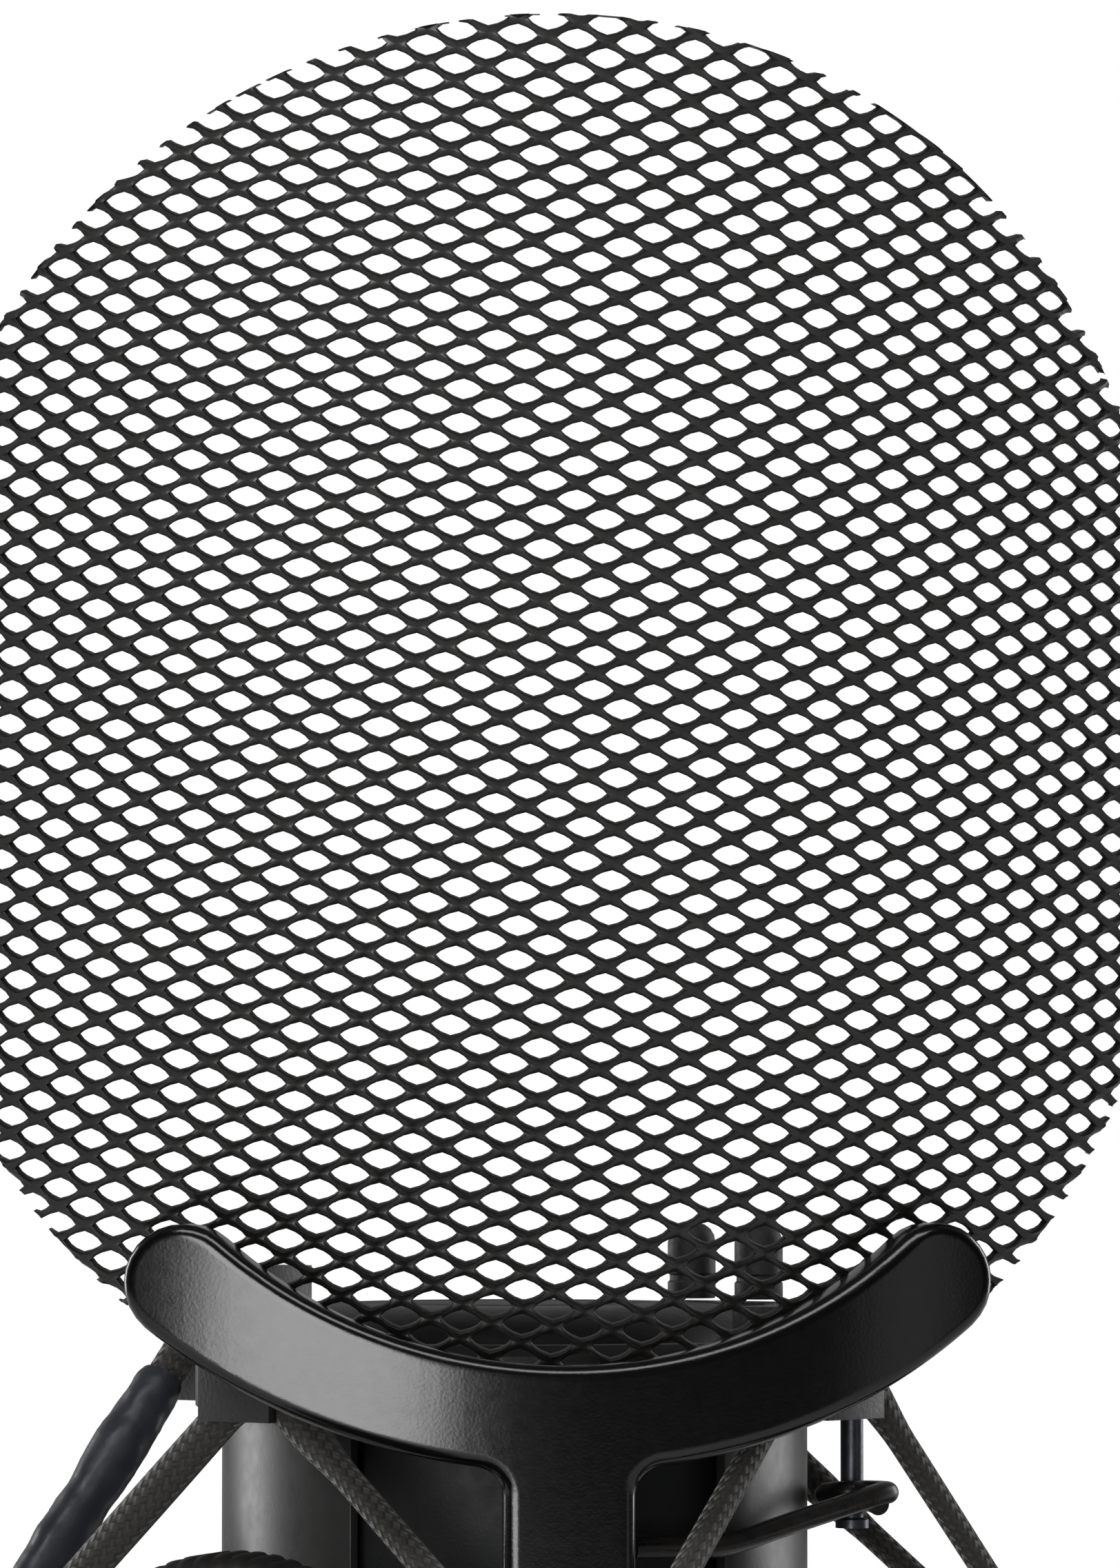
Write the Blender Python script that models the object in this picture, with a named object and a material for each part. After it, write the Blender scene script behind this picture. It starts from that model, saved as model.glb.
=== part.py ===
"""A side-address condenser microphone in an elastic-cord shock mount, with a curved metal pop shield.

Metres, +Z up, front towards -Y. The origin is the middle of the stand socket's mouth.
HOME is the microphone's axis at the height of the top collar's lower edge; most pieces are
built around it.
"""

import math

import bmesh
import bpy
from mathutils import Matrix, Vector

MM = 0.001
GAP = 0.3 * MM

# The stand socket is the origin; the microphone hangs this far in front of it and above it.
REACH = 84 * MM
COLLAR_HEIGHT = 77 * MM
HOME = Vector((0, -REACH, COLLAR_HEIGHT))
FRONT = 270
FRONT_LEFT, FRONT_RIGHT, REAR_RIGHT, REAR_LEFT = 225, 315, 45, 135

# Pop shield: a disc of expanded metal bent round an upright axis, in a crescent cradle.
SCREEN_RADIUS = 65 * MM
SCREEN_BEND = 95 * MM
SCREEN_Y = -44.3 * MM
SCREEN_Z = 62.3 * MM
SCREEN_THICK = 1.2 * MM
CRADLE_HALF_WIDTH = 38.6 * MM
CRADLE_INNER_RADIUS = 45.5 * MM
CRADLE_INNER_LOW = 5.75 * MM
CRADLE_OUTER_RADIUS = 59.2 * MM
CRADLE_OUTER_LOW = -3.7 * MM
CRADLE_TIP_RADIUS = 5.2 * MM
CRADLE_FRONT = (1.2 * MM, 5.2 * MM)
CRADLE_BACK = (-3.4 * MM, -1.2 * MM)
STEM_HALF_WIDTH = 5.65 * MM
STEM_FRONT = 4.2 * MM
STEM_FILLET = 2.6 * MM
STEM_BOTTOM = -90 * MM
STEM_STEP = (-13.6 * MM, -16.6 * MM)
CRADLE_SCREW_SPOTS = (-25 * MM, 0.0, 25 * MM)

# Basket, collars and the microphone's body, all round one axis.
BASKET_OUTER = 28.0 * MM
BASKET_INNER = 26.8 * MM
BASKET_GAP_HALF_ANGLE = 38.5
COLLAR_OUTER = 30.6 * MM
COLLAR_TOP = 7.0 * MM
LOWER_COLLAR = (-76 * MM, -69 * MM)
BODY_OUTER = 25.4 * MM
BODY_INNER = 24.0 * MM
BODY_TOP = 4.0 * MM
BODY_BOTTOM = -104 * MM
WINDOW = (-58 * MM, -18 * MM)
WINDOW_HALF_ANGLE = 36
CAPSULE_Z = -38 * MM
SWITCHES = (("pad_switch", 252), ("low_cut_switch", 288))
SWITCH_Z = -88 * MM
SWITCH_TRAVEL = 2.5 * MM

# Outer ring and the elastic cord that hangs the basket in it.
RING_RADIUS = 64 * MM
RING_HALF_WIDTH = 3 * MM
RING_Z = -27 * MM
RING_HALF_HEIGHT = 4.5 * MM
CORD_RADIUS = 1.85 * MM
CORD_TURN = 6 * MM
LUG_HALF_WIDTH = 4.3 * MM
END_LUG_TOP = 10 * MM
END_SPREAD = 4.2 * MM
END_RADIUS = 33 * MM
# Where each straight stretch of cord would meet the next one: angle, radius and height.
UPPER_PEAKS = {
    FRONT_RIGHT: (37 * MM, 9 * MM),
    FRONT_LEFT: (37 * MM, 4.2 * MM),
    REAR_LEFT: (37 * MM, 12 * MM),
}
# The front lugs stand only as high as their own stretch of cord needs.
LUG_TOPS = {FRONT_RIGHT: 10.4 * MM, FRONT_LEFT: 6.2 * MM, REAR_LEFT: 13.4 * MM}
UPPER_VALLEYS = {
    0: (56 * MM, -32 * MM),
    270: (60 * MM, -27.3 * MM),
    180: (56 * MM, -32 * MM),
    90: (58 * MM, -29 * MM),
}
LOWER_PEAK = (58 * MM, -33 * MM)
LOWER_VALLEY = (37 * MM, -73 * MM)

# Shield bracket, its knob and the stem's lock screw.
KNOB_ANGLE = 246
KNOB_Z = -24.7 * MM
KNOB_RADIUS = 15.5 * MM
KNOB_START = 71.2 * MM
KNOB_LENGTH = 11 * MM
PLATE = (-38.6 * MM, -34.8 * MM)
CLAMP_HALF_WIDTH = 9.5 * MM
CLAMP_Y = (-57 * MM, -41 * MM)
CLAMP_BOTTOM = -53 * MM
LOCK_Z = -46 * MM

# Stand swivel, at the back of the ring.
PIVOT_Z = -27 * MM
TONGUE_HALF = 4.0 * MM
WASHER = (4.3 * MM, 5.1 * MM)
EAR = (5.4 * MM, 9.4 * MM)
EAR_RADIUS = 10 * MM
SOCKET_RADIUS = 12.5 * MM
SOCKET_TOP = -44 * MM

# Clamp wires on the basket: the second is the first one turned round the axis.
CLAMP_TURNS = {"right": 0, "rear": 120}
WIRE_RADIUS = 1.05 * MM
POST_ANGLE = 352
POST_RADIUS_OUT = 32.2 * MM
POST_RADIUS = 1.1 * MM
LOOP_ANGLE = 341.5
LOOP_REACH = 35.5 * MM
LOOP_RADIUS = 2.2 * MM


# ---------------------------------------------------------------- helpers


def clear_scene():
    for thing in list(bpy.data.objects):
        bpy.data.objects.remove(thing, do_unlink=True)


def material(name, colour, roughness, metallic=0.0):
    made = bpy.data.materials.new(name)
    made.use_nodes = True
    shader = made.node_tree.nodes["Principled BSDF"]
    shader.inputs["Base Color"].default_value = (*colour, 1)
    shader.inputs["Roughness"].default_value = roughness
    shader.inputs["Metallic"].default_value = metallic
    return made


def around(angle, radius, height=0.0, sideways=0.0):
    """A point at an angle in degrees about the microphone's axis, moved sideways along the tangent."""
    turn = math.radians(angle)
    out = Vector((math.cos(turn), math.sin(turn), 0))
    along = Vector((-math.sin(turn), math.cos(turn), 0))
    return out * radius + along * sideways + Vector((0, 0, height))


def finish(name, bm, finish_material, location=HOME, smooth_angle=40):
    """Turn a bmesh into a named, smooth-shaded object."""
    bmesh.ops.remove_doubles(bm, verts=bm.verts, dist=1e-6)
    bmesh.ops.recalc_face_normals(bm, faces=bm.faces)
    mesh = bpy.data.meshes.new(name)
    bm.to_mesh(mesh)
    bm.free()
    mesh.shade_smooth()
    mesh.set_sharp_from_angle(angle=math.radians(smooth_angle))
    made = bpy.data.objects.new(name, mesh)
    made.location = location
    bpy.context.collection.objects.link(made)
    if finish_material:
        mesh.materials.append(finish_material)
    return made


def helper(name, bm, location=HOME):
    """A cutter or a piece to be joined, which isn't part of the object itself."""
    made = finish(name, bm, None, location)
    made.hide_render = True
    made.display_type = "WIRE"
    return made


def boolean(target, tool, operation="DIFFERENCE"):
    change = target.modifiers.new(tool.name, "BOOLEAN")
    change.operation = operation
    change.solver = "EXACT"
    change.object = tool


def bevel(target, width, segments=2, angle=40):
    change = target.modifiers.new("soft_edges", "BEVEL")
    change.width = width
    change.segments = segments
    change.limit_method = "ANGLE"
    change.angle_limit = math.radians(angle)


def revolve(bm, outline, segments, start=0.0, sweep=360.0):
    """Turn a closed (radius, height) outline about Z; a point at radius 0 stays one vertex."""
    full = sweep >= 360
    stations = segments if full else segments + 1
    on_axis = {i: bm.verts.new((0, 0, z)) for i, (r, z) in enumerate(outline) if r == 0}
    rings = []
    for step in range(stations):
        turn = math.radians(start + sweep * step / segments)
        ring = []
        for i, (r, z) in enumerate(outline):
            ring.append(on_axis.get(i) or bm.verts.new((r * math.cos(turn), r * math.sin(turn), z)))
        rings.append(ring)
    count = len(outline)
    for step in range(segments):
        here, there = rings[step], rings[(step + 1) % stations]
        for i in range(count):
            j = (i + 1) % count
            corners = list(dict.fromkeys([here[i], there[i], there[j], here[j]]))
            if len(corners) > 2:
                bm.faces.new(corners)
    if not full:
        bm.faces.new(rings[0])
        bm.faces.new(rings[-1])


def tube(bm, path, radius, sides=8, closed=False):
    """Sweep a circle along a path, carrying its frame from point to point without twist.

    radius is one number, or one for each point.
    """
    count = len(path)
    radii = radius if isinstance(radius, list) else [radius] * count
    tangents = []
    for i in range(count):
        before = path[i - 1] if closed or i else path[i]
        after = path[(i + 1) % count] if closed or i < count - 1 else path[i]
        tangents.append((after - before).normalized())
    normal = tangents[0].orthogonal().normalized()
    normals = [normal]
    for i in range(1, count):
        turn = tangents[i - 1].rotation_difference(tangents[i])
        normal = (turn @ normal).normalized()
        normals.append(normal)
    slip = 0.0
    if closed:
        back = tangents[-1].rotation_difference(tangents[0]) @ normal
        slip = back.angle(normals[0])
        if back.cross(normals[0]).dot(tangents[0]) < 0:
            slip = -slip
    rings = []
    for i in range(count):
        side = tangents[i].cross(normals[i])
        ring = []
        for k in range(sides):
            turn = 2 * math.pi * k / sides + slip * i / count
            offset = normals[i] * math.cos(turn) + side * math.sin(turn)
            ring.append(bm.verts.new(path[i] + offset * radii[i]))
        rings.append(ring)
    for i in range(count if closed else count - 1):
        here, there = rings[i], rings[(i + 1) % count]
        for k in range(sides):
            j = (k + 1) % sides
            bm.faces.new((here[k], here[j], there[j], there[k]))
    if not closed:
        bm.faces.new(rings[0])
        bm.faces.new(rings[-1])


def rod(bm, start, end, radius, sides=16):
    tube(bm, [Vector(start), Vector(end)], radius, sides)


def box(bm, low, high, turn=0.0):
    """A box between two corners, turned about Z by an angle in degrees."""
    low, high = Vector(low), Vector(high)
    place = Matrix.Rotation(math.radians(turn), 4, "Z")
    place = place @ Matrix.Translation((low + high) / 2) @ Matrix.Diagonal((*(high - low), 1))
    bmesh.ops.create_cube(bm, size=1, matrix=place)


def rectangle(inner, outer, low, high):
    return [(inner, low), (outer, low), (outer, high), (inner, high)]


def arc(centre, radius, start, end, steps):
    """Points on a circle in a plane, from one angle in degrees to another."""
    points = []
    for step in range(steps + 1):
        turn = math.radians(start + (end - start) * step / steps)
        points.append((centre[0] + radius * math.cos(turn), centre[1] + radius * math.sin(turn)))
    return points


def turned(name, outline, finish_material, segments=48, start=0.0, sweep=360.0, location=HOME):
    bm = bmesh.new()
    revolve(bm, outline, segments, start, sweep)
    return finish(name, bm, finish_material, location)


# ---------------------------------------------------------------- pop shield


def bend(u, v, offset):
    """A point of the flat pattern (u across, v up) laid on the screen's curve, offset to the front."""
    turn = u / SCREEN_BEND
    out = SCREEN_BEND + offset
    return Vector((out * math.sin(turn), SCREEN_Y + SCREEN_BEND - out * math.cos(turn), v))


def pop_screen(metal):
    """The disc, plain here: two faces of rings round a middle point, and a rim."""
    bm = bmesh.new()
    spokes, rings = 36, 3
    faces = []
    for offset in (SCREEN_THICK / 2, -SCREEN_THICK / 2):
        middle = bm.verts.new(bend(0, SCREEN_Z, offset))
        loops = []
        for ring in range(1, rings + 1):
            radius = SCREEN_RADIUS * ring / rings
            spots = [arc((0, SCREEN_Z), radius, 0, 360, spokes)[k] for k in range(spokes)]
            loops.append([bm.verts.new(bend(u, v, offset)) for u, v in spots])
        for k in range(spokes):
            j = (k + 1) % spokes
            bm.faces.new((middle, loops[0][k], loops[0][j]))
            for here, there in zip(loops, loops[1:]):
                bm.faces.new((here[k], there[k], there[j], here[j]))
        faces.append(loops[-1])
    for k in range(spokes):
        j = (k + 1) % spokes
        bm.faces.new((faces[0][k], faces[1][k], faces[1][j], faces[0][j]))
    return finish("pop_screen", bm, metal)


def crescent(inset=0.0, stem=False):
    """The cradle's outline: two arcs joined by round tips, with the stem below if it has one."""
    tip = CRADLE_TIP_RADIUS - inset
    centre_u = CRADLE_HALF_WIDTH - CRADLE_TIP_RADIUS
    inner = CRADLE_INNER_RADIUS + inset
    inner_centre = CRADLE_INNER_LOW + CRADLE_INNER_RADIUS
    outer = CRADLE_OUTER_RADIUS - inset
    outer_centre = CRADLE_OUTER_LOW + CRADLE_OUTER_RADIUS
    tip_v = inner_centre - math.sqrt((CRADLE_INNER_RADIUS + CRADLE_TIP_RADIUS) ** 2 - centre_u**2)
    inner_end = math.degrees(math.atan2(tip_v - inner_centre, centre_u))
    outer_end = math.degrees(math.atan2(tip_v - outer_centre, centre_u))
    top = arc((0, inner_centre), inner, -180 - inner_end, inner_end, 16)
    right = arc((centre_u, tip_v), tip, 180 + inner_end, outer_end, 6)
    left = [(-u, v) for u, v in reversed(right)]
    if not stem:
        bottom = arc((0, outer_centre), outer, outer_end, -180 - outer_end, 16)
        return top + right[1:-1] + bottom + left[1:-1]
    fillet_u = STEM_HALF_WIDTH + STEM_FILLET
    fillet_v = outer_centre - math.sqrt((outer + STEM_FILLET) ** 2 - fillet_u**2)
    stem_end = math.degrees(math.atan2(fillet_v - outer_centre, fillet_u))
    side = arc((0, outer_centre), outer, outer_end, stem_end, 8)
    fillet = arc((fillet_u, fillet_v), STEM_FILLET, 180 + stem_end, 180, 4)
    foot = arc((0, STEM_BOTTOM + STEM_HALF_WIDTH), STEM_HALF_WIDTH, 0, -180, 8)
    half = side + fillet[1:]
    mirrored = [(-u, v) for u, v in reversed(half)]
    return top + right[1:-1] + half + foot + mirrored + left[1:-1]


def bent_plate(name, outline, back, front, finish_material):
    """Extrude an outline, slice it upright and lay it on the screen's curve."""
    bm = bmesh.new()
    face = bm.faces.new([bm.verts.new((u, 0, v)) for u, v in outline])
    pushed = bmesh.ops.extrude_face_region(bm, geom=[face])
    for item in pushed["geom"]:
        if isinstance(item, bmesh.types.BMVert):
            item.co.y = 1
    for slice_at in range(-36, 40, 6):
        everything = bm.verts[:] + bm.edges[:] + bm.faces[:]
        place = (slice_at * MM, 0, 0)
        bmesh.ops.bisect_plane(bm, geom=everything, plane_co=place, plane_no=(1, 0, 0), dist=1e-6)
    for height in STEM_STEP:
        everything = bm.verts[:] + bm.edges[:] + bm.faces[:]
        bmesh.ops.bisect_plane(bm, geom=everything, plane_co=(0, 0, height), plane_no=(0, 0, 1), dist=1e-6)
    for vert in bm.verts:
        vert.co = bend(vert.co.x, vert.co.z, front if vert.co.y < 0.5 else back)
    return finish(name, bm, finish_material)


def flatten_stem(part):
    """The stem is thinner than the cradle, so its front face steps back below it."""
    for vert in part.data.vertices:
        if vert.co.z < STEM_STEP[1] + 0.1 * MM and vert.co.y < SCREEN_Y - 2 * MM:
            vert.co.y = SCREEN_Y - STEM_FRONT


def cradle_spot(u, offset):
    """The place of a cradle screw, and the direction to the front there."""
    v = CRADLE_OUTER_LOW + CRADLE_OUTER_RADIUS - math.sqrt(CRADLE_OUTER_RADIUS**2 - u**2) + 4.8 * MM
    turn = u / SCREEN_BEND
    return bend(u, v, offset), Vector((math.sin(turn), -math.cos(turn), 0))


def aimed(name, outline, finish_material, start, direction, segments=16):
    """A turned piece whose own axis points along a direction, with its foot at a start point."""
    bm = bmesh.new()
    revolve(bm, outline, segments)
    made = finish(name, bm, finish_material, HOME + start)
    made.rotation_euler = Vector((0, 0, 1)).rotation_difference(direction).to_euler()
    return made


def screw_outline(head_radius, head_height, shank_radius, shank_length):
    """A pan-head screw from the top of its head, at height 0, into its shank."""
    return [
        (0, 0),
        (head_radius * 0.7, 0),
        (head_radius, head_height * 0.5),
        (head_radius, head_height),
        (shank_radius, head_height),
        (shank_radius, head_height + shank_length),
        (0, head_height + shank_length),
    ]


def pop_shield(metal, plastic, steel):
    screen = pop_screen(metal)
    front = bent_plate("cradle_front", crescent(stem=True), *CRADLE_FRONT, plastic)
    flatten_stem(front)
    back = bent_plate("cradle_back", crescent(inset=1.2 * MM), *CRADLE_BACK, plastic)
    bevel(front, 0.8 * MM, 1, 50)
    for number, u in enumerate(CRADLE_SCREW_SPOTS, 1):
        start, forward = cradle_spot(u, -5 * MM)
        bm = bmesh.new()
        rod(bm, start - forward * MM, start + forward * 8.4 * MM, 1.7 * MM, 12)
        hole = helper(f"cut_cradle_{number}", bm)
        for part in (front, back, screen):
            boolean(part, hole)
        outline = screw_outline(2.6 * MM, 1.4 * MM, 1.35 * MM, 6.4 * MM)
        aimed(f"cradle_screw_{number}", outline, steel, start, forward, 12)


# ---------------------------------------------------------------- cords


def rounded(peaks, closed):
    """A path of straight stretches whose corners are cut CORD_TURN back and rounded."""
    path = []
    count = len(peaks)
    for i, peak in enumerate(peaks):
        if not closed and i in (0, count - 1):
            path.append(peak)
            continue
        before = peak + (peaks[i - 1] - peak).normalized() * CORD_TURN
        after = peak + (peaks[(i + 1) % count] - peak).normalized() * CORD_TURN
        for step in range(5):
            t = step / 4
            path.append(before * (1 - t) ** 2 + peak * (2 * t * (1 - t)) + after * t**2)
    return path


def upper_cord_path():
    """From one end sleeve on the rear right lug, round by the front, to the other."""
    peaks = [
        around(REAR_RIGHT, END_RADIUS, END_LUG_TOP - GAP, -END_SPREAD),
        around(REAR_RIGHT, END_RADIUS, -3 * MM, -END_SPREAD),
    ]
    for valley, peak in ((0, FRONT_RIGHT), (270, FRONT_LEFT), (180, REAR_LEFT), (90, None)):
        peaks.append(around(valley, *UPPER_VALLEYS[valley]))
        if peak:
            peaks.append(around(peak, *UPPER_PEAKS[peak]))
    peaks.append(around(REAR_RIGHT, END_RADIUS, -3 * MM, END_SPREAD))
    peaks.append(around(REAR_RIGHT, END_RADIUS, END_LUG_TOP - GAP, END_SPREAD))
    return rounded(peaks, closed=False)


def lower_cord_path():
    peaks = []
    for angle in range(0, 360, 90):
        peaks.append(around(angle, *LOWER_VALLEY))
        peaks.append(around(angle + 45, *LOWER_PEAK))
    return rounded(peaks, closed=True)


def cords(braid, rubber, sleeve):
    """Two zigzag cords, the upper one's two ends, and the sleeve on one stretch of it."""
    cutters = []
    for name, path, closed in (
        ("upper_cord", upper_cord_path(), False),
        ("lower_cord", lower_cord_path(), True),
    ):
        bm = bmesh.new()
        tube(bm, path, CORD_RADIUS, 6, closed)
        finish(name, bm, braid)
        bm = bmesh.new()
        tube(bm, path, CORD_RADIUS + 0.6 * MM, 6, closed)
        cutters.append(helper(f"cut_{name}", bm))
    for side, sideways in (("right", -END_SPREAD), ("left", END_SPREAD)):
        start = around(REAR_RIGHT, END_RADIUS, END_LUG_TOP, sideways)
        outline = [(0, 0), (2.4 * MM, 0), (2.4 * MM, 6 * MM), (1.6 * MM, 7.2 * MM), (0, 7.5 * MM)]
        aimed(f"cord_end_{side}", outline, rubber, start, Vector((0, 0, 1)), 12)
    top = around(REAR_LEFT, *UPPER_PEAKS[REAR_LEFT])
    bottom = around(180, *UPPER_VALLEYS[180])
    bore = CORD_RADIUS + GAP
    outline = [
        (bore, 0),
        (2.5 * MM, 0),
        (2.7 * MM, 4 * MM),
        (3.0 * MM, 9 * MM),
        (2.6 * MM, 14 * MM),
        (2.7 * MM, 22 * MM),
        (2.4 * MM, 27 * MM),
        (bore, 27 * MM),
    ]
    along = (bottom - top).normalized()
    aimed("splice_sleeve", outline, sleeve, top + along * 13 * MM, along, 16)
    return cutters


# ---------------------------------------------------------------- ring, bracket and swivel


def outer_ring(metal, cutters):
    """The ring with its eight cord lugs inside it: four for each cord."""
    soft = 1.2 * MM
    inner, outer = RING_RADIUS - RING_HALF_WIDTH, RING_RADIUS + RING_HALF_WIDTH
    low, high = RING_Z - RING_HALF_HEIGHT, RING_Z + RING_HALF_HEIGHT
    outline = [
        (inner + soft, low),
        (outer - soft, low),
        (outer, low + soft),
        (outer, high - soft),
        (outer - soft, high),
        (inner + soft, high),
        (inner, high - soft),
        (inner, low + soft),
    ]
    ring = turned("outer_ring", outline, metal, 48)
    for angle in range(0, 360, 45):
        if angle % 90 == 0:
            radius, height = UPPER_VALLEYS[angle]
            low, high = height - 4.5 * MM, height + 8 * MM
        else:
            radius, height = LOWER_PEAK
            low, high = height - 7 * MM, height + 4.5 * MM
        bm = bmesh.new()
        start = (radius - 4.6 * MM, -LUG_HALF_WIDTH, low)
        box(bm, start, (inner + MM, LUG_HALF_WIDTH, high), angle)
        boolean(ring, helper(f"ring_lug_{angle}", bm), "UNION")
    for cutter in cutters:
        boolean(ring, cutter)
    for height in (-5 * MM, 5 * MM):
        radial_hole(ring, 90, RING_Z + height * 0.5, 1.75 * MM, 62 * MM, 70 * MM)


def radial_hole(target, angle, height, radius, inner, outer, sides=14):
    bm = bmesh.new()
    rod(bm, around(angle, inner, height), around(angle, outer, height), radius, sides)
    boolean(target, helper(f"cut_{target.name}_{angle}_{len(target.modifiers)}", bm))


def shield_bracket(metal, steel, plastic):
    """A saddle on the ring, held by the knob's screw, with a plate to the stem's clamp block."""
    outline = [
        (56.6 * MM, PLATE[0]),
        (71 * MM, PLATE[0]),
        (71 * MM, -16 * MM),
        (67.6 * MM, -16 * MM),
        (67.6 * MM, PLATE[1]),
        (60.4 * MM, PLATE[1]),
        (60.4 * MM, -32.2 * MM),
        (56.6 * MM, -32.2 * MM),
    ]
    bracket = turned("shield_bracket", outline, metal, 8, KNOB_ANGLE - 8, 16)
    plate = rectangle(48 * MM, 69 * MM, PLATE[0] + 0.1 * MM, PLATE[1] - 0.1 * MM)
    bm = bmesh.new()
    revolve(bm, plate, 16, KNOB_ANGLE - 5, 34)
    boolean(bracket, helper("bracket_plate", bm), "UNION")
    bm = bmesh.new()
    low = (-CLAMP_HALF_WIDTH, CLAMP_Y[0], CLAMP_BOTTOM)
    box(bm, low, (CLAMP_HALF_WIDTH, CLAMP_Y[1], PLATE[1]))
    block = helper("bracket_block", bm)
    bevel(block, 1.2 * MM, 2)
    boolean(bracket, block, "UNION")
    bm = bmesh.new()
    slot_back = SCREEN_Y - CRADLE_FRONT[0] + 0.35 * MM
    slot_front = SCREEN_Y - STEM_FRONT - 0.35 * MM
    slot_half = STEM_HALF_WIDTH + 0.35 * MM
    box(bm, (-slot_half, slot_front, -60 * MM), (slot_half, slot_back, -30 * MM))
    boolean(bracket, helper("bracket_slot", bm))
    radial_hole(bracket, KNOB_ANGLE, KNOB_Z, 2.9 * MM, 66 * MM, 73 * MM)
    bm = bmesh.new()
    rod(bm, (0, -60 * MM, LOCK_Z), (0, slot_front + MM, LOCK_Z), 2.4 * MM, 14)
    boolean(bracket, helper("bracket_lock_hole", bm))
    outward = around(KNOB_ANGLE, 1)
    screw = [
        (0, 0),
        (2.2 * MM, 0),
        (2.5 * MM, 0.6 * MM),
        (2.5 * MM, 9.5 * MM),
        (0, 9.5 * MM),
    ]
    tip = around(KNOB_ANGLE, RING_RADIUS + RING_HALF_WIDTH + GAP, KNOB_Z)
    aimed("shield_knob_screw", screw, steel, tip, outward, 14)
    knob = [
        (2.9 * MM, 0),
        (9 * MM, 0),
        (10 * MM, 1.5 * MM),
        (KNOB_RADIUS - 0.8 * MM, 1.8 * MM),
        (KNOB_RADIUS, 3.2 * MM),
        (KNOB_RADIUS, KNOB_LENGTH - 3 * MM),
        (KNOB_RADIUS - 3 * MM, KNOB_LENGTH - 0.6 * MM),
        (0, KNOB_LENGTH + 0.6 * MM),
        (0, 6.2 * MM),
        (2.9 * MM, 6.2 * MM),
    ]
    aimed("shield_knob", knob, plastic, around(KNOB_ANGLE, KNOB_START, KNOB_Z), outward, 24)
    lock = [
        (0, 0),
        (2.0 * MM, 0),
        (2.0 * MM, 8.6 * MM),
        (5.3 * MM, 8.6 * MM),
        (5.3 * MM, 14.6 * MM),
        (4.4 * MM, 15.4 * MM),
        (0, 15.4 * MM),
    ]
    start = Vector((0, SCREEN_Y - STEM_FRONT - GAP, LOCK_Z))
    aimed("stem_lock_screw", lock, steel, start, Vector((0, -1, 0)), 20)


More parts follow.
